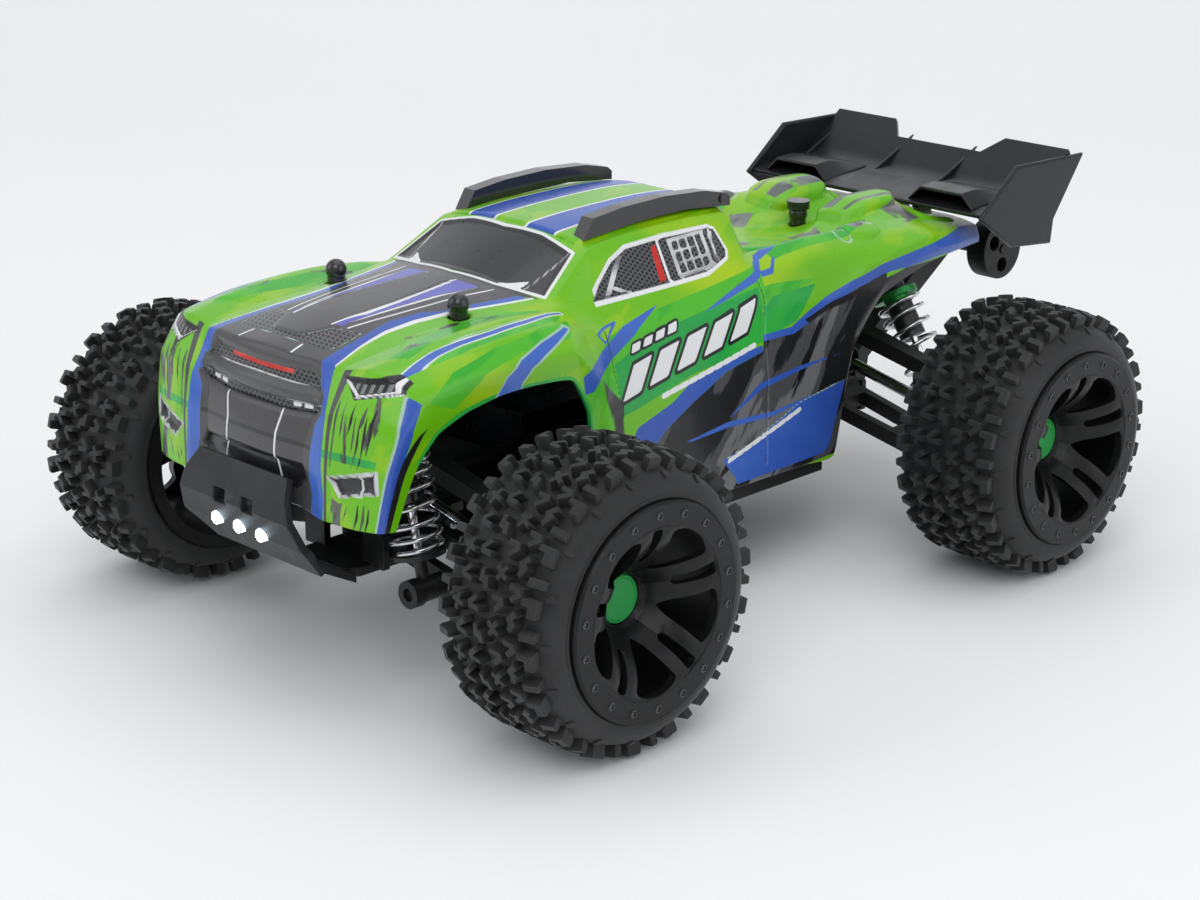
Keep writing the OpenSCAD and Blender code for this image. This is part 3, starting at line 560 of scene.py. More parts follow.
# Half sections of the shell, from the hem up to the centre line, front to back
BODY_ROWS = [
    [[52, -151, 60], [50, -155, 60], [44, -157.5, 60], [38, -158.5, 60], [30, -159, 60], [22, -158, 61],
     [11, -159.5, 62], [0, -160, 62]],
    [[54, -146, 76], [53, -153, 77], [46, -156, 77], [39, -157.5, 77], [30, -158.5, 77], [22, -157.8, 77],
     [11, -159.2, 77], [0, -159.7, 77]],
    [[55, -138, 86], [55, -149, 89], [48, -154, 91], [40, -155.5, 92], [31, -156, 90], [24, -155.2, 88],
     [12, -156.8, 88], [0, -157.3, 88]],
    [[55, -127, 90], [55, -142, 96], [49, -147, 101], [41, -149, 102.5], [31, -150.5, 101], [23, -152, 102],
     [12, -153.5, 102.5], [0, -154, 103]],
    [[55, -114, 92], [55, -126, 99], [50, -128, 104], [42, -130, 105.5], [32, -131, 104], [24, -131, 105],
     [12, -131, 106.5], [0, -131, 107]],
    [[55, -100, 92], [55, -103, 99], [50, -104, 105], [42, -104, 107], [33, -104, 105.6], [27, -104, 106.4],
     [14, -104, 108.5], [0, -104, 109]],
    [[55, -86, 90], [54.5, -85, 98], [49, -84, 104], [42, -84, 106], [37, -84, 105.5], [33, -84, 106.5],
     [17, -86, 109], [0, -88, 110]],
    [[54.5, -79, 78], [52.5, -76, 91], [47, -74, 101], [41, -73, 104], [37.5, -74, 106], [35.5, -76, 107],
     [18, -80, 109.5], [0, -82, 110.6]],
    [[53, -76, 62], [50, -67, 80], [46, -62, 96], [41, -62, 103], [38.5, -61, 106.5], [31.5, -57, 118.5],
     [16, -58, 121], [0, -59, 121.6]],
    [[50, -68, 42], [49.5, -50, 72], [45.5, -42, 94], [41, -40, 102], [38.5, -40, 106.5], [30.5, -40, 120],
     [16, -40, 122.3], [0, -40, 122.8]],
    [[49.5, -30, 37], [49, -20, 70], [45.5, -12, 93], [41, -10, 101], [38, -10, 106.5], [29.5, -10, 120],
     [15, -10, 122.6], [0, -10, 123]],
    [[49, 5, 36], [48.5, 5, 68], [44.5, 6, 92], [41, 7, 100], [37, 6, 106], [28.5, 8, 118.5],
     [14, 9, 120.8], [0, 9, 121]],
    [[48.5, 26, 35.5], [48, 20, 66], [44, 16, 91], [40, 15, 101], [34, 15, 105], [27, 16, 103.5],
     [14, 17, 102], [0, 17, 102]],
    [[48, 41, 35.5], [47, 41, 62], [44, 41, 87], [40, 38, 101], [34, 38, 105.5], [26, 38, 100],
     [13, 38, 98.5], [0, 38, 98.5]],
    [[46, 51, 68], [46, 55, 80], [44, 60, 94], [40, 62, 100], [33, 62, 104.5], [26, 62, 99.5],
     [13, 62, 98], [0, 62, 97.5]],
    [[45, 66, 84], [45, 72, 90], [43, 80, 97], [38, 82, 101], [31, 84, 103], [23, 84, 106],
     [13, 84, 106], [0, 84, 97.5]],
    [[44, 92, 90.5], [44, 94, 94], [42, 98, 98], [37, 99, 100], [30, 100, 101.5], [22, 101, 106],
     [13, 101, 106], [0, 101, 98]],
    [[42, 110, 91.5], [42, 112, 94], [39, 113, 97], [34, 114, 98], [28, 114, 99], [21, 114, 99],
     [12, 114, 98.5], [0, 114, 98]],
    [[39, 127, 91], [39, 127, 93], [37, 128, 95.5], [32, 128, 96.5], [26, 128, 97], [20, 128, 97],
     [11, 128, 97], [0, 128, 97]],
]
COL_CREASE = [0, 0.3, 0.75, 0.35, 0.8, 0.85, 0.1, 0]
ROW_CREASE = [0, 0.2, 0.5, 0.85, 0.3, 0, 0.4, 0.7, 0.85, 0.3, 0, 0.8, 0.5, 0.6, 0.4, 0.6, 0.6, 0.5, 0]
PAINT_STEP = 0.85
REACH = 3.0  # how far the painted distances are kept, in mm


def refine(grid, crease, counts):
    """Hermite rows between the given rows; a creased row gets short tangents, so a sharper edge."""
    last = len(grid) - 1
    slope = [(grid[min(k + 1, last)] - grid[max(k - 1, 0)]) / 2 * (1 - crease[k]) for k in range(last + 1)]
    out = []
    for k in range(last):
        for t in np.arange(counts[k]) / counts[k]:
            out.append((2 * t ** 3 - 3 * t * t + 1) * grid[k] + (t ** 3 - 2 * t * t + t) * slope[k]
                       + (3 * t * t - 2 * t ** 3) * grid[k + 1] + (t ** 3 - t * t) * slope[k + 1])
    out.append(grid[last])
    return np.array(out)


def params(counts):
    """The row number, with fractions, of every refined row."""
    values = [k + i / n for k, n in enumerate(counts) for i in range(n)]
    return np.array(values + [len(counts)])


def counts_for(grid, step):
    far = np.linalg.norm(np.diff(grid, axis=0), axis=2).max(axis=1)
    return [max(2, int(ceil(d / step))) for d in far]


def body_grid(step):
    half = np.array(BODY_ROWS, float)
    full = np.concatenate([half, half[:, -2::-1] * [-1, 1, 1]], axis=1)
    rows = counts_for(full, step)
    g = refine(full, ROW_CREASE, rows).transpose(1, 0, 2)
    cols = counts_for(g, step)
    g = refine(g, COL_CREASE + COL_CREASE[-2::-1], cols).transpose(1, 0, 2)
    return g, params(rows), params(cols)


def to_segment(p, a, b):
    """Share along the segment of its nearest point, and the distance to it."""
    e, w = b - a, p - a
    t = np.clip((w @ e) / max(e @ e, 1e-9), 0, 1)
    return t, np.linalg.norm(w - t[:, None] * e, axis=1)


def poly_sd(p, poly):
    """Signed distance to a polygon, positive inside."""
    poly = np.array(poly, float)
    best = np.full(len(p), 1e9)
    inside = np.zeros(len(p), bool)
    for a, b in zip(poly, np.roll(poly, -1, axis=0)):
        best = np.minimum(best, to_segment(p, a, b)[1])
        cross = (a[1] > p[:, 1]) != (b[1] > p[:, 1])
        dy = b[1] - a[1]
        if abs(dy) > 1e-9:
            inside ^= cross & (p[:, 0] < (b[0] - a[0]) * (p[:, 1] - a[1]) / dy + a[0])
    return np.where(inside, best, -best)


def line_sd(p, line, width):
    """Positive within width / 2 of the polyline; width is one number or one for each point."""
    line = np.array(line, float)
    widths = np.full(len(line), width, float) if np.isscalar(width) else np.array(width, float)
    best = np.full(len(p), -1e9)
    for a, b, wide, next_wide in zip(line, line[1:], widths, widths[1:]):
        t, d = to_segment(p, a, b)
        best = np.maximum(best, (wide + (next_wide - wide) * t) / 2 - d)
    return best


class Paint:
    """Painted layers of the shell as signed distances on its vertices, in mm."""

    def __init__(self, grid, u, v):
        self.p = grid.reshape(-1, 3)
        uu, vv = np.meshgrid(u, v, indexing="ij")
        self.u = uu.ravel()
        half = len(BODY_ROWS[0]) - 1
        self.v = np.where(vv.ravel() > half, 2 * half - vv.ravel(), vv.ravel())
        ax = np.abs(self.p[:, 0])
        self.side = np.stack([self.p[:, 1], self.p[:, 2]], axis=1)
        self.top = np.stack([ax, self.p[:, 1]], axis=1)
        self.front = np.stack([ax, self.p[:, 2]], axis=1)
        u, v = self.u, self.v
        nose = (u < 3.02) & (v > 0.9)
        cab = (u > 7.3) & (u < 11.6) & (v > 4.9)
        screen = (u > 6.9) & (u <= 8.05) & (v > 4.4)
        bonnet = (u >= 3.02) & (u <= 7.3) & (v > 1.9)
        deck = (u >= 11.6) & (v > 2.6)
        top = (bonnet | deck | cab | screen) & ~nose
        near = (v < 2.7) & (u > 3) & (u < 7.4)
        window = (u > 7.9) & (u < 11.3) & (v > 3) & (v < 5.2)
        # region: the flat view its outlines are drawn on, and the part of the shell that it covers
        self.regions = {
            "S": (self.side, ~nose & ~top), "T": (self.top, top), "F": (self.front, nose),
            "screen": (self.top, top & (u > 6.95) & (u < 8)),
            "frame": (self.top, top & (u > 6.8) & (u < 8.1)),
            "roof": (self.top, top & (u > 8) & (u < 11.05) & (v > 5)),
            "deck": (self.top, top & (u > 12) & (v > 3.2)),
            "tail": (self.side, ~nose & ~top & (u > 14)),
            "nose": (self.front, (u < 3.3) & (v > 0.7)), "near": (self.side, near),
            "corner": (self.side, near | (u < 3.05)), "window": (self.side, window),
            "inside": (self.side, window & (poly_sd(self.side, SIDE_WINDOW) > 0.4)),
        }
        self.layers = {}

    def put(self, layer, values, mask):
        v = np.clip(np.where(mask, values, -REACH), -REACH, REACH)
        old = self.layers.get(layer)
        self.layers[layer] = v if old is None else np.maximum(old, v)

    def draw(self, layer, region, points, width=None):
        """A filled outline, or a line where a width is given; fills that end on x = 0 run across it."""
        flat, mask = self.regions[region]
        if width is not None:
            self.put(layer, line_sd(flat, points, width), mask)
            return
        if flat is not self.side:
            points = [(-9, b) if a == 0 else (a, b) for a, b in points]
        self.put(layer, poly_sd(flat, points), mask)


# Outlines used more than once on the shell, in mm on their flat view: side (y, z), top (x, y), front (x, z)
BONNET_MESH = [(0, -149), (19.4, -146.8), (20.4, -143), (19, -134), (10.4, -136.6), (6.8, -144),
               (4.8, -146), (0, -146.3)]
WINDSCREEN = [(0, -82), (17.5, -80.2), (33.8, -75.6), (29.6, -59.6), (15, -58.6), (0, -59.8)]
FENDER_LINE = [(49.6, -144), (48.3, -138), (47, -131), (46.2, -121), (46.2, -109), (45, -95), (42, -78)]
FENDER_WIDTH = [2.2, 2.6, 2.4, 2.1, 1.8, 1.5, 0.8]
FOG_RECESS = [(33.4, 73.4), (50, 77.6), (50.4, 71.2), (38.4, 68)]
ARCH_STRIPE = [(-117, 91), (-112, 97), (-106, 100), (-96, 102.4), (-84, 104), (-82, 103), (-88, 101.4),
               (-97, 99), (-102, 97.4), (-106, 94), (-107, 90.5)]
SIDE_WINDOW = [(-65, 104.4), (-58, 110), (-50, 115), (-42, 117.6), (-24, 118), (-4, 117.2), (-1.5, 116),
               (0.4, 109.4), (-1, 107.4), (-12, 104.6), (-29, 104.4)]
BONNET_EDGE = [(20.5, -134), (18, -123), (19, -112), (22.5, -105), (24.5, -92), (27, -81)]
NOSE_EDGE = [(25, 56), (27, 66), (25.5, 72), (26, 80), (26.5, 86), (29, 90), (26, 97)]
CAMO_EDGE = [(5.5, 78), (-13, 75.6), (-22, 72), (-29, 69.4), (-42, 63), (-50, 56)]
# Livery: (layer, region, outline), or a line with its width or widths, in mm
LIVERY = [
    # bonnet and nose: grey middle
    ("grey", "T", [(0, -156), (23.5, -152), *BONNET_EDGE, (33, -77), (0, -83.5)]),
    ("grey", "F", [(0, 104), (23.5, 104), *NOSE_EDGE[::-1], (0, 56)]),
    # blue strips along the bonnet and down the nose
    ("blue", "T", [(23.5, -152.5), *BONNET_EDGE, (30, -79), (26, -97), (24, -106), (22.6, -117),
     (22.6, -128), (25, -139), (28.3, -151)]),
    ("blue", "F", [(23.5, 104), (28.3, 104), (29.5, 96), (31, 89), (31, 82), (31, 75), (32, 66), (31, 56),
     *NOSE_EDGE]),
    ("white", "T", [(28.6, -151), (25.4, -139), (23.8, -128), (23.8, -117), (25.2, -106), (27, -97),
     (31.6, -78), (30.6, -78), (25.8, -97), (23.2, -106), (21.8, -117), (22.2, -128), (24.6, -139),
     (28, -151)]),
    # stripe groups of the bonnet
    ("violet", "T", [(6.5, -86.5), (8, -99), (9.2, -112), (9.6, -124), (8.6, -136), (10.6, -134.5),
     (11.4, -119), (12.6, -101), (15.5, -85.5)]),
    ("white", "T", [(6.2, -86.5), (7.8, -99), (9, -112), (9.4, -124), (8.6, -136)], 0.8),
    ("white", "T", [(19.5, -83.5), (18, -93), (16.6, -108), (15.2, -122), (13.6, -134)], 0.8),
    ("white", "T", [(15.8, -86), (13.4, -101), (12.2, -119), (11.2, -131)], [0.3, 0.9, 0.9, 0.4]),
    ("white", "T", [(14.2, -95), (13, -108), (12.4, -118)], [0.3, 1.1, 0.3]),
    ("white", "T", [(11, -148.6), (12.2, -154.5)], 0.8),
    ("mesh", "T", BONNET_MESH),
    ("thin", "T", BONNET_MESH, 0.5),
    ("glass", "screen", WINDSCREEN),
    ("white", "frame", [WINDSCREEN[-1]] + WINDSCREEN[-2::-1], 0.9),
    ("edge2", "screen", [(26, -78.4), (28.4, -60)], 1.5),
    ("bar", "screen", [(26, -78.4), (28.4, -60)], 0.9),
    ("white", "screen", [(17, -80), (24.6, -78.4), (25.4, -73.5)]),
    ("blue", "roof", [(7, -60), (19, -58.6), (18.2, 10), (6.6, 10)]),
    ("white", "roof", [(7, -60), (6.6, 10)], 1),
    ("white", "roof", [(19, -60), (18.2, 10)], 1),
    ("edge", "roof", [(12.6, -60), (12.2, 10)], 0.6),
    ("edge", "T", FENDER_LINE, [w + 1.0 for w in FENDER_WIDTH]),
    ("blue", "T", FENDER_LINE, FENDER_WIDTH),
    ("thin", "T", [(46, -134), (44.4, -122), (44, -108), (43, -94)], 0.5),
    ("green", "T", [(51, -139), (50, -120), (49, -100), (47, -84), (44, -80), (46, -96), (48, -112),
     (48, -128)]),
    ("green", "T", [(40, -142), (36, -126), (31, -108), (33, -92), (37, -82), (41, -84), (39, -100),
     (41, -118), (44, -138)]),
    ("streak", "T", [(30, -127), (28, -110), (29, -96), (36, -92), (42, -112), (42, -126), (40, -137)]),
    ("black", "nose", [(33, 100.6), (50.6, 102.2), (52.2, 98), (40.5, 95.4)]),
    ("white", "nose", [(34.6, 99.8), (40.8, 96.4), (50.8, 98.6), (49.8, 101)], 0.75),
    ("silver", "nose", [(40.4, 95.9), (51.6, 98)], 0.6),
    ("lens", "nose", [(36.4, 99.7), (41, 97.3), (50, 99), (49.2, 100.8)]),
    ("pit", "nose", FOG_RECESS),
    ("silver", "nose", FOG_RECESS + [FOG_RECESS[0]], 0.8),
    ("silver", "nose", [(44.8, 76.4), (45.8, 69.8)], 0.7),
    ("grey", "F", [(32.6, 104), (35.6, 104), (34.4, 93), (33.6, 85), (33.4, 76), (33, 60), (32, 60),
     (32.2, 76), (32.2, 86)]),
    ("grey", "F", [(35.2, 98), (36, 92), (35.2, 84), (34.8, 76), (34.4, 76), (34.6, 84), (35, 92)]),
    ("streak", "F", [(36, 95.4), (48, 97.4), (50, 90), (46.5, 82), (43.5, 78), (38, 78.6), (36.4, 86)]),
    ("streak", "F", [(33.8, 68), (38, 66.5), (46, 70), (48, 60), (34, 60)]),
    # grille
    ("mesh", "F", [(0, 99.6), (22, 100.4), (25.6, 97), (28.4, 90.6), (25, 88), (14, 87.4), (0, 87.6)]),
    ("trim", "F", [(0, 95.4), (15, 95), (27, 95.6), (28.4, 92), (20, 91.6), (8, 91.2), (0, 91)]),
    # silver lines along the top and bottom edges of the grille bar are painted highlights of the glossy bar
    ("silver", "F", [(0, 95.6), (15, 95.2), (27, 95.8)], 0.6),
    ("silver", "F", [(12, 91.2), (20, 91.3), (28.2, 91.8)], [0.2, 0.6, 0.5]),
    ("red", "F", [(0, 99.4), (14, 99.8), (14, 98), (0, 97.6)]),
    ("grey", "F", [(14.6, 99.6), (16.4, 99.6), (15.6, 96.2), (14, 96.2)]),
    ("white", "F", [(15.2, 90.6), (18.4, 90.8), (18.4, 89.4), (15.2, 89.2)]),
    ("white", "F", [(19.4, 90.8), (22.8, 91), (22.8, 89.6), (19.4, 89.4)]),
    ("black", "F", [(0, 75.4), (8, 75), (22.5, 74.6), (25, 70), (20, 66.2), (8, 66), (0, 66)]),
    ("white", "F", [(12.6, 87), (11, 81), (11, 75), (13.5, 67)], 0.7),
    ("pit", "F", [(0, 80.4), (25.6, 80), (25.4, 78.8), (0, 79.2)]),
    ("thin", "near", ARCH_STRIPE + [ARCH_STRIPE[0]], 0.5),
    ("blue", "near", ARCH_STRIPE),
    ("green", "near", [(-142, 95), (-130, 101), (-112, 104), (-92, 105), (-80, 104), (-84, 101),
     (-104, 101.5), (-120, 99), (-134, 91)]),
    ("streak", "corner", [(-150, 92), (-143, 99), (-138, 96), (-146, 84), (-151, 76)]),
    ("dgreen", "S", [(-62, 88), (-42, 93.6), (8, 97.4), (6.5, 81), (-28, 78), (-53, 73), (-61, 72)]),
    ("dgreen", "S", [(14, 93.4), (36, 93.6), (24, 84), (9, 82), (6.5, 83), (8.5, 91)]),
    ("green", "S", [(-80, 84), (-70, 92), (-62, 96), (-40, 99), (10, 103), (30, 100), (38, 95), (8, 91),
     (-58, 78), (-70, 66), (-78, 74)]),
    ("blue", "S", [(-81, 84.5), (-81.5, 90), (-72, 91.6), (-64, 94.4), (-55, 97.4), (-37, 100.4),
     (-49, 95.6), (-61, 90.6), (-76, 84)]),
    ("blue", "S", [(-57.5, 99), (-68, 98), (-65, 95), (-57.5, 99)], 0.7),
    ("blue", "S", [(-21, 94.6), (-7, 98), (8, 101.4), (11, 101.6), (8.6, 99), (-5, 96.8)]),
    ("blue", "S", [(9.5, 100.5), (12, 104)], 2.2),
    ("blue", "T", [(41, 9), (36, 14), (34, 22), (31, 32)], 2.2),
    ("blue", "T", [(34, 22), (25, 40), (17, 60)], [2, 1.6, 0.8]),
    ("blue", "T", [(40.5, 10), (40.2, 17), (37.5, 21)], 0.9),
    ("blue", "S", [(-58, 60), (-54, 67), (-38, 71.4), (-29, 76), (-17, 78.6), (5.5, 80), *CAMO_EDGE]),
    ("camo", "S", [*CAMO_EDGE[::-1], (6, 82), (21, 80.6), (32, 83.4), (44, 86.4), (56, 89.4), (70, 92),
     (68, 84), (54, 70), (50, 36), (-60, 34)]),
    ("blue", "S", [(6, 83), (21, 82.6), (30, 85.8), (39, 88.4), (53, 91.6), (68, 94.4), (100, 96.4),
     (129, 97), (129, 90.5), (100, 92), (80, 91.4), (68, 91.2), (53, 88.6), (41, 85), (32, 82.6),
     (22, 80.2), (6, 81)]),
    ("black", "S", [(28, 83.4), (42, 86.6), (56, 88.6), (52, 85.6), (38, 84), (30, 82)]),
    ("black", "tail", [(60, 88), (80, 91.4), (100, 91.4), (129, 90.4), (129, 86), (60, 82)]),
    ("blue", "S", [(-9, 40), (-15, 47), (-2, 49.4), (22, 57.6), (47, 60), (41, 46), (38.6, 40), (36, 37.4),
     (-8, 37.4)]),
    ("thin", "S", [(-15, 47), (-2, 49.4), (22, 57.6), (47, 60)], 0.5),
    ("blue", "S", [(-12, 60.6), (3, 67.4), (23, 68.8), (45, 69)], [0.4, 2.2, 1.4, 0.4]),
    ("blue", "S", [(-33, 57), (-13, 58.4), (9, 57), (29, 58.6)], [0.6, 1.8, 1.6, 0.5]),
    ("black", "S", [(-70, 60), (-58, 38)], 2.6),
    ("streak", "S", [(-77, 84), (-70, 86), (-60, 76), (-60, 62), (-72, 62), (-76, 72)]),
    ("seam", "S", [(9, 100), (10, 94), (6.5, 83), (6, 40)], 0.5),
    ("seam", "S", [(-64, 98), (-62, 82), (-60, 66)], 0.5),
    ("mesh", "window", SIDE_WINDOW),
    ("bar", "inside", [(-42.6, 118), (-57, 104)], 1.7),
    ("bar", "inside", [(-51, 107.4), (-46, 105)], 1.2),
    ("red", "inside", [(-30.8, 116), (-28.6, 116), (-29.6, 105.4), (-32.4, 105.4)]),
    ("white", "inside", [(-27.4, 118), (-28.2, 104)], 1.1),
    ("bar", "inside", [(-3.6, 117), (-5, 105)], 1.2),
    ("white", "window", SIDE_WINDOW + [SIDE_WINDOW[0]], 1),
    ("green", "deck", [(24, 20), (38, 20), (36, 60), (30, 80), (24, 60)]),
]

# Brushed streaks under the headlamp: (x, top, length, width)
STREAKS = [(38.4, 94.6, 12, 0.9), (41.6, 94.8, 9, 1), (42.8, 92, 12, 0.8), (44.2, 90, 11, 0.9),
           (45.4, 94.6, 7, 1.3), (46.4, 93, 13, 1.1), (47.6, 91, 8, 1.4), (48.2, 94, 12, 0.9),
           (43.2, 83, 6, 0.6), (45.2, 82, 5, 0.7), (35.6, 68, 7, 0.8), (37.2, 66, 6, 0.7),
           (40.6, 66.4, 5, 0.6), (44.6, 67.4, 8, 0.8), (46.4, 67.8, 9, 0.9), (47.8, 67, 8, 0.7)]
DECK_PATCHES = [
    [(0, 20), (20, 22), (16, 34), (6, 44), (0, 40)], [(10, 60), (24, 52), (27, 62), (14, 70)],
    [(29, 52), (34, 66), (31, 82), (27, 70)], [(12, 78), (15.5, 78), (16, 102), (12, 102)],
    [(19.5, 78), (21, 78), (21.5, 102), (20, 102)], [(24, 90), (34, 94), (30, 106), (22, 100)],
]
PER_ROW = 7  # mm across one column of the shell near its hem


def paint_front(pt):
    """Streaks of the front, the blue outer edge with its dark band, and the dark green hem."""
    u, v = pt.u, pt.v
    for k, (x, z, drop, wide) in enumerate(STREAKS):
        line = [(x, z), (x - 0.4, z - 0.5 * drop), (x - 1.5, z - drop)]
        pt.draw("black" if k % 2 else "grey", "F", line, [0.3, wide, 0.2])
    outer = (u < 2.8) & (v > 0.4) & (v < 1.8)
    middle = 0.9 + 0.32 * np.clip((u - 1.2) / 1.5, 0, 1) ** 2
    pt.put("blue", 1.4 - np.abs(v - middle) * PER_ROW, outer)
    pt.put("thin", 0.3 - np.abs(v - middle - 0.22) * PER_ROW, outer)
    taper = np.clip(2.3 - u, 0, 1)
    band = (u < 2.25) & (v > 0.2) & (v < 0.8)
    pt.put("black", 0.9 * taper - np.abs(v - 0.5 - 0.1 * taper) * PER_ROW, band)
    pt.put("dgreen", 1.0 - np.abs(u - 1.18) * 14, (v > 1.5) & (v < 4) & (u < 1.5))
    pt.put("dgreen", 1.0 - v * 5, (u > 1.2) & (u < 7.6))


def paint_marks(pt):
    """Plain slanted bars where the real truck has words, and dashes under them."""
    for k in range(5):
        y, lean = -57 + 12.6 * k, 3.4
        low, high = 76.4 + 1.95 * k, 86.2 + 1.75 * k
        bar = [(y - lean, low), (y + 8.6 - lean, low + 1.4), (y + 8.6 + lean, high + 1.4), (y + lean, high)]
        pt.draw("black", "S", bar + bar[:1], 2.2)
        pt.draw("white", "S", bar)
    for k in range(4):
        y, z = -54 + 5.6 * k, 89.6 + 0.75 * k
        bar = [(y, z), (y + 3.9, z + 0.5), (y + 5, z + 3), (y + 1.1, z + 2.5)]
        pt.draw("black", "S", bar + bar[:1], 1.5)
        pt.draw("white", "S", bar)
    for count, y, z, step, climb, width in ((11, -42, 74.2, 4.1, 0.62, 1.7), (9, -12, 46.2, 4, 1.05, 1.6)):
        for k in range(count):
            y0, z0 = y + step * k, z + climb * k
            pt.draw("white", "S", [(y0, z0), (y0 + 2.6, z0 + (0.4 if count == 11 else 0.7))], width)


def paint_cage(pt):
    """Silver net of the side window."""
    for k in range(5):
        y = -22.4 + 3.8 * k
        pt.draw("silver", "inside", [(y, 116.6), (y - 0.6, 105.6)], 0.8 if k % 4 else 1.6)
    for k in range(4):
        z = 106 + 3.5 * k
        pt.draw("silver", "inside", [(-22.4, z), (-7.2, z + 0.4)], 0.8 if 0 < k < 3 else 1.5)


def paint_deck(pt):
    for patch in DECK_PATCHES:
        pt.draw("dgrey", "deck", patch)
    for x, y in ((35, 58), (30, 74), (24, 116)):
        ring = np.abs(np.hypot(pt.top[:, 0] - x, pt.top[:, 1] - y) - 3)
        pt.put("thin", 0.4 - ring, pt.regions["deck"][1])


def paint_material():
    """Coats of the livery, from the lowest to the uppermost, on a lime ground mottled with yellow patches
    and strokes that are painted highlights.
    """
    m = Mat("body_paint")
    wide = m.noise(16, (1, 0.6, 1.4), detail=3.0)
    brush = m.noise(90, (1, 0.18, 0.9), (0.5, 0, 0), 8)
    lime, painted_highlight_yellow, deep = (0.15, 0.51, 0.004), (0.42, 0.62, 0.003), (0.035, 0.43, 0.02)
    # yellow patches and brushed yellow strokes on the lime are painted highlights of the glossy shell
    color = m.mix(m.step(wide, 0.53, 0.68), lime, painted_highlight_yellow)
    color = m.mix(m.math("MULTIPLY", m.step(brush, 0.56, 0.6), 0.35), color, painted_highlight_yellow)
    edge = 0.12

    def paint(layer, value, extra=None):
        nonlocal color
        f = m.step(m.attr(layer), -edge, edge)
        if extra is not None:
            f = m.math("MULTIPLY", f, extra)
        color = m.mix(f, color, value)

    paint("green", m.mix(m.step(brush, 0.48, 0.56), (0.08, 0.5, 0.02), deep), m.step(wide, 0.3, 0.5))
    paint("dgreen", m.mix(m.step(brush, 0.45, 0.6), (0.012, 0.37, 0.06), (0.03, 0.45, 0.05)))
    strokes = m.noise(130, (1, 0.5, 0.12), (0.25, 0, 0), 9)
    paint("streak", m.mix(m.step(brush, 0.4, 0.6), (0.03, 0.035, 0.03), (0.12, 0.13, 0.11)),
          m.step(strokes, 0.55, 0.58))
    slow = m.noise(22, detail=2.0)
    paint("grey", m.mix(slow, (0.055, 0.053, 0.057), (0.09, 0.088, 0.095)))
    paint("dgrey", m.mix(m.step(brush, 0.5, 0.56), (0.11, 0.12, 0.12), (0.2, 0.22, 0.2)),
          m.step(strokes, 0.36, 0.42))
    slash = m.noise(95, (1, 0.13, 0.8), (0.85, 0, 0), 9)
    slash2 = m.noise(170, (1, 0.1, 0.8), (0.75, 0, 0), 7)
    camo = m.mix(m.step(slash, 0.49, 0.52), (0.012, 0.0125, 0.013), (0.07, 0.073, 0.077))
    camo = m.mix(m.step(slash, 0.585, 0.6), camo, (0.16, 0.165, 0.17))
    camo = m.mix(m.step(slash2, 0.55, 0.57), camo, (0.008, 0.008, 0.009))
    paint("camo", camo)
    paint("violet", m.mix(m.step(slow, 0.35, 0.65), (0.1, 0.12, 0.52), (0.17, 0.14, 0.55)))
    paint("edge", m.mix(slow, (0.6, 0.7, 0.62), (0.8, 0.82, 0.8)))
    paint("blue", m.mix(m.step(wide, 0.4, 0.6), (0.03, 0.095, 0.46), (0.055, 0.15, 0.56)))
    paint("thin", m.mix(slow, (0.3, 0.5, 0.36), (0.46, 0.62, 0.5)))
    paint("black", m.mix(slash2, (0.006, 0.006, 0.007), (0.022, 0.022, 0.024)))
    # hex mesh: three sets of ridges
    sx, sy, sz = m.axes()
    along = m.math("ADD", sx, sy)
    lift = m.math("ADD", sz, m.math("MULTIPLY", sy, 0.45))
    rows = []
    for kx, kz in ((0, 1), (0.866, 0.5), (0.866, -0.5)):
        w = m.math("ADD", m.math("MULTIPLY", along, kx * 3600), m.math("MULTIPLY", lift, kz * 5200))
        rows.append(m.math("COSINE", w))
    hexes = m.math("ADD", m.math("ADD", rows[0], rows[1]), rows[2])
    holes = m.step(hexes, -0.4, 0.2)
    paint("mesh", m.mix(holes, (0.1, 0.103, 0.11), (0.006, 0.006, 0.007)))
    paint("trim", m.mix(slow, (0.02, 0.021, 0.023), (0.13, 0.134, 0.14)))
    paint("edge2", m.mix(slow, (0.01, 0.01, 0.011), (0.02, 0.02, 0.021)))
    paint("glass", m.mix(m.noise(12, detail=2.0), (0.018, 0.018, 0.02), (0.075, 0.076, 0.08)))
    paint("pit", m.mix(slow, (0.01, 0.01, 0.011), (0.06, 0.06, 0.063)))
    paint("red", m.mix(m.step(strokes, 0.45, 0.6), (0.62, 0.02, 0.012), (0.7, 0.06, 0.04)))
    ribs = m.math("SINE", m.math("MULTIPLY", sx, 2600))
    paint("lens", m.mix(m.step(ribs, -0.2, 0.2), (0.015, 0.016, 0.016), (0.2, 0.21, 0.2)))
    tube = m.noise(260, (1, 0.2, 0.6), detail=2.0)
    paint("bar", m.mix(m.step(tube, 0.35, 0.65), (0.2, 0.205, 0.215), (0.7, 0.71, 0.72)))
    # silver print of the lamps and window net, plus the painted highlights along the grille bar's edges
    paint("silver", m.mix(m.step(tube, 0.35, 0.65), (0.42, 0.43, 0.44), (0.68, 0.69, 0.7)))
    paint("white", m.mix(slow, (0.78, 0.79, 0.8), (0.88, 0.88, 0.88)))
    paint("seam", (0.015, 0.05, 0.012))
    m.set(Base_Color=color)
    peel = m.noise(420, detail=2.0)
    m.set(Roughness=m.math("MULTIPLY_ADD", m.noise(200, detail=5.0), 0.16, 0.22))
    m.set(Specular_IOR_Level=0.35, Coat_Weight=0.25, Coat_Roughness=0.08)
    m.bump(peel, 0.12, 0.00006)
    return m.mat


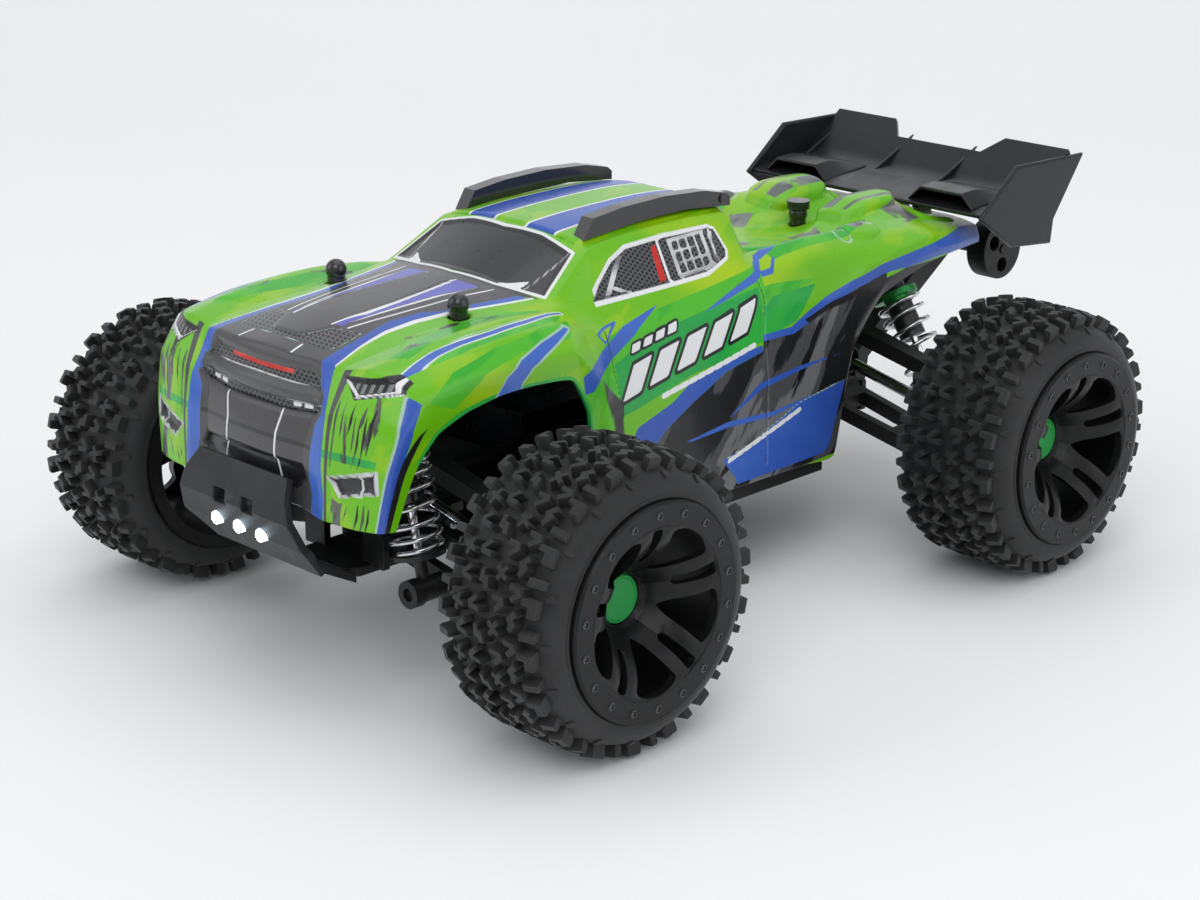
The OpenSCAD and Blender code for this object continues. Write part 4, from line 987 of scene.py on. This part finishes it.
# Pressed shapes of the shell: (plane, outline, height in mm, width of the slope, lowest and highest row)
RELIEF = [
    ("T", [(9, 79), (12, 75), (21, 75), (24, 80), (23, 98), (20, 102), (11, 102), (9, 98)], 2.2, 2.2, 12,
     18),
    ("T", [(30, 62), (36, 62), (38, 69), (36, 76), (30, 76), (28, 69)], 1.2, 1.5, 12, 18),
    ("T", [(14, 24), (25, 22), (27, 34), (24, 48), (15, 50), (12, 38)], 2, 2.4, 12, 18),
    ("T", [(0, 108), (30, 108), (33, 121), (0, 122)], 0.8, 1.2, 12, 18.5),
    ("T", [(-9, -146), (4.8, -146), (7, -143.6), (10.4, -136.6), (9, -112), (6.4, -88), (-9, -88)], 0.5,
     0.9, 3, 7.2),
    ("T", [(30, -127), (43, -139), (45, -116), (42, -94), (32, -98)], 0.5, 2, 3, 7.2),
    ("T", [(-9, -57.6), (28, -56.6), (27.4, 6), (-9, 6)], 0.7, 0.9, 8, 11.2),
    ("T", [(-9, -80.6), (17, -79.2), (32.4, -74.8), (28.6, -60.8), (15, -60), (-9, -61)], -0.5, 0.7, 6.9,
     8.1),
    ("S", [(-63, 105.2), (-57, 110), (-50, 114.2), (-42, 116.8), (-24, 117.2), (-5, 116.4), (-1, 109.6),
     (-12, 105.6)],
     -0.7, 0.8, 7.9, 11.4),
    ("S", [(9.2, 100), (10.2, 94), (7.2, 83), (6.4, 40), (5.6, 40), (6.2, 83), (9, 94), (8.4, 100)], -0.4,
     0.5, 10, 13),
    ("F", [(-9, 99.6), (22, 100.4), (25.6, 97), (28.4, 90.6), (25, 88), (14, 87.4), (-9, 87.6)], -1.2, 0.9,
     0, 3.3),
    ("F", [(-9, 95.2), (15, 94.8), (26.4, 95.2), (27.6, 92.4), (20, 91.8), (8, 91.4), (-9, 91.2)], 1.7, 0.9,
     0, 3.3),
    ("F", [(-9, 74.6), (8, 74.2), (22, 73.6), (24, 70), (20, 67), (8, 66.6), (-9, 66.6)], -1, 0.9, 0,
     3.3),
    ("F", [(34.2, 72.8), (49.2, 76.6), (49.6, 71.8), (38.8, 68.8)], -1.3, 0.8, 0, 3.3),
    ("F", [(34.4, 100), (49.4, 101.4), (50.8, 98.4), (41, 96.2)], -0.6, 0.6, 0, 3.4),
]


def smooth(t):
    t = np.clip(t, 0, 1)
    return t * t * (3 - 2 * t)


def pressed(pt, grid):
    """Moves the paint grid in and out along its normals to the pressed shapes."""
    du, dv = np.gradient(grid, axis=0), np.gradient(grid, axis=1)
    normal = np.cross(du, dv).reshape(-1, 3)
    normal /= np.linalg.norm(normal, axis=1)[:, None] + 1e-9
    lift = np.zeros(len(pt.p))
    for plane, outline, height, slope, low, high in RELIEF:
        mask = (pt.u >= low) & (pt.u <= high)
        mask &= (pt.v < 5.4) if plane == "S" else (pt.v > 0.9)
        if plane == "F":
            mask &= pt.p[:, 1] < -140
        if plane == "T" and low < 8:
            mask &= pt.v > 1.9
        sd = poly_sd(pt.regions[plane][0], outline)
        lift += np.where(mask, height * smooth(sd / slope + 0.5), 0)
    return (pt.p + normal * lift[:, None]).reshape(grid.shape)


POST_HOLES = [(27.8, -104.7), (-27.8, -104.7), (0, 77)]
POST_HOLE_R = 3.4


def make_body():
    grid, u, v = body_grid(PAINT_STEP)
    rows, cols = grid.shape[:2]
    pt = Paint(grid, u, v)
    for row in LIVERY:
        pt.draw(*row)
    for paint in (paint_front, paint_marks, paint_cage, paint_deck):
        paint(pt)
    grid = pressed(pt, grid)
    verts = [tuple(p) for p in grid.reshape(-1, 3)]
    faces = []
    for i in range(rows - 1):
        for j in range(cols - 1):
            a = i * cols + j
            c = (grid[i, j] + grid[i + 1, j + 1]) / 2
            at_post = any(hypot(c[0] - x, c[1] - y) < POST_HOLE_R for x, y in POST_HOLES)
            if not (at_post and c[2] > 85):
                faces.append((a, a + 1, a + cols + 1, a + cols))
    body = add_mesh("painted_shell", verts, faces, paint_material())
    for layer, values in pt.layers.items():
        data = body.data.attributes.new(layer, "FLOAT", "POINT").data
        data.foreach_set("value", values.astype(np.float32))
    modify(body, "SOLIDIFY", thickness=0.0012, offset=-1)
    enter(body, "truck", "body_shell")


make_body()

# ---- wing

# Outlines are (y, z) in mm
PLATE = [(129, 119.5), (168, 118.5), (152.2, 97), (151, 88.5), (128, 91), (109.2, 104)]
PLATE_LAYERS = [(54, 0.8), (53.4, 0), (52.6, 0), (52, 0.8)]
GUSSET = [(136, 107), (158, 116.5), (148, 107.5)]
SCOOP_X = (19, 24, 42, 47)
SCOOP_ROWS = [(113.5, 105.6, 110.4), (121, 106.2, 110.9), (130, 106.8, 109.4), (137, 107.4, 107.9)]
WING_X = [-52.5, -48, -40, -30, -25, -22, -19, -10, 0, 10, 19, 22, 25, 30, 40, 48, 52.5]
WING_PLANE = [(111.6, 104.6, 0.3, 0), (112.2, 104.2, 0.8, 0), (118, 104.9, 1, 0), (132, 105.5, 1, 0),
              (143, 106.6, 1, 0)]
STRUT = [(90.4, 74), (90.4, 86), (114, 87), (131, 94), (136, 105.8), (143, 106), (139, 90), (124, 78)]


def inset(points, amount):
    """The outline moved toward its middle by about the given amount."""
    cy, cz = sum(p[0] for p in points) / len(points), sum(p[1] for p in points) / len(points)
    out = []
    for y, z in points:
        d = hypot(y - cy, z - cz)
        out.append((y + (cy - y) * amount / d, z + (cz - z) * amount / d))
    return out


def wing_top(x):
    """Share of the flap's height at x: lower in the middle, with sloping steps."""
    return 0.62 + 0.38 * max(0, min(1, (abs(x) - 19) / 6))


def in_plane(x, outline):
    return [(x, y, z) for y, z in outline]


def make_wing():
    b = Build()
    for s in (-1, 1):
        b.loft(*[in_plane(s * x, inset(PLATE, cut)) for x, cut in PLATE_LAYERS])
        b.loft(in_plane(s * 6, STRUT), in_plane(s * 9, STRUT))
        # raised scoop with an open front edge
        scoop = []
        for y, low, high in SCOOP_ROWS:
            scoop += [(s * x, y, z) for x, z in zip(SCOOP_X, (low, high, high, low))]
        b.slab(scoop, [(x, y, z - 1.1) for x, y, z in scoop], len(SCOOP_X))
        for x in (14.5, 48.5):
            b.loft(in_plane(s * (x - 0.6), GUSSET), in_plane(s * (x + 0.6), GUSSET))
    # lower plane and flap as one bent plate: (y, z, half thickness, lean)
    top, low = [], []
    for x in WING_X:
        h = wing_top(x)
        flap = [(144 + 17.4 * t * h, 107.1 + 12.6 * t * h, 0.9, 0.7) for t in (0.12, 0.35, 0.7, 1)]
        points = WING_PLANE + flap
        top += [(x, y - half * lean, z + half) for y, z, half, lean in points]
        low += [(x, y + half * lean, z - half) for y, z, half, lean in points]
    b.slab(top, low, len(top) // len(WING_X))
    wing = b.make("wing_with_scoops", [WING])
    bevel(wing, 0.0003)
    enter(wing, "truck", "rear_wing")


make_wing()

# ---- CAD nodes that stay

# Looks by the start of the node's name; every other node is black nylon
LOOKS = {
    "battery": WRAP, "receiver": GREY_BOX, "motor_pinion": BRASS, "motor": CAN, "servo_horn": WHITE,
    "servo": GREY_BOX, "front_bumper": BUMPER, "front_lamps": LAMP, "body_posts": GLOSS_BLACK,
    "roof_rails": GLOSS_BLACK, "power_switch": RED, "tie_rod": STEEL, "drive_shaft": CHROME,
    "shock_rod_front": SHOCK_ROD["front"], "shock_rod_rear": SHOCK_ROD["rear"],
    "shock_body_front": GLOSS_BLACK, "shock_body_rear": REAR_SHOCK, "": BLACK,
}
REMADE = ("tyre_", "rim_", "spring_", "body_shell", "rear_wing")
BEVELLED = ["front_bumper", "roof_rails", "chassis", "battery", "receiver", "servo", "wheelie_bar",
            "shock_towers", "wheelie_wheels"]
for name, node in NODES.items():
    if not name.startswith(REMADE):
        mesh = node.data
        mesh.materials.clear()
        mesh.materials.append(next(look for start, look in LOOKS.items() if name.startswith(start)))
        mesh.polygons.foreach_set("material_index", [0] * len(mesh.polygons))
for name in BEVELLED:
    modify(NODES[name], "WELD", merge_threshold=0.00001)
    bevel(NODES[name], 0.0004)

# ---- camera, light, floor

TARGET = Vector((-0.0029, -0.0165, 0.0381))
AZIMUTH, ELEVATION, DISTANCE, LENS = 45.2, 18.8, 0.833, 75.8


def make_camera():
    a, e = radians(AZIMUTH), radians(ELEVATION)
    back = Vector((cos(e) * sin(a), -cos(e) * cos(a), sin(e)))
    cam = bpy.data.objects.new("camera", bpy.data.cameras.new("camera"))
    bpy.context.scene.collection.objects.link(cam)
    cam.location = TARGET + back * DISTANCE
    cam.rotation_euler = back.to_track_quat("Z", "Y").to_euler()
    cam.data.lens = LENS
    cam.data.sensor_width = 36
    cam.data.clip_start = 0.01
    bpy.context.scene.camera = cam


def area_light(name, place, energy, size):
    light = bpy.data.lights.new(name, "AREA")
    light.energy = energy
    light.size = size
    obj = bpy.data.objects.new(name, light)
    bpy.context.scene.collection.objects.link(obj)
    obj.location = place
    obj.rotation_euler = (Vector(place) - Vector((0, 0, 0.05))).to_track_quat("Z", "Y").to_euler()


def make_stage():
    m = Mat("floor")
    tone = m.noise(3, detail=2.0)
    m.set(Base_Color=m.mix(tone, (0.95, 0.95, 0.955), (0.98, 0.98, 0.98)), Roughness=0.7)
    w, back, radius, high = 4, 1.6, 0.9, 3.2
    profile = [(-4, 0), (back - radius, 0)]
    profile += [(back - radius + radius * sin(t), radius - radius * cos(t))
                for t in np.linspace(0.1, pi / 2, 14)]
    profile.append((back, high))
    turn = Matrix.Rotation(radians(AZIMUTH), 3, "Z")
    verts = [tuple(turn @ Vector((x, y, z))) for y, z in profile for x in (-w, w)]
    faces = [(2 * i, 2 * i + 1, 2 * i + 3, 2 * i + 2) for i in range(len(profile) - 1)]
    floor = add_mesh("floor", verts, faces, m.mat, scale=1)
    world = bpy.data.worlds.new("world")
    bpy.context.scene.world = world
    world.use_nodes = True
    sky = world.node_tree.nodes["Background"].inputs
    sky[0].default_value = (0.93, 0.96, 1, 1)
    sky[1].default_value = 0.5
    area_light("key", (0.9, -1.1, 1.5), 9, 1.2)
    area_light("fill", (1.6, 0.5, 0.7), 5, 1.4)
    area_light("left", (-0.9, -1.2, 0.8), 4, 1.2)
    area_light("top", (0, 0.2, 1.8), 9, 1.8)


make_camera()
make_stage()
bpy.context.scene.view_settings.view_transform = "Standard"
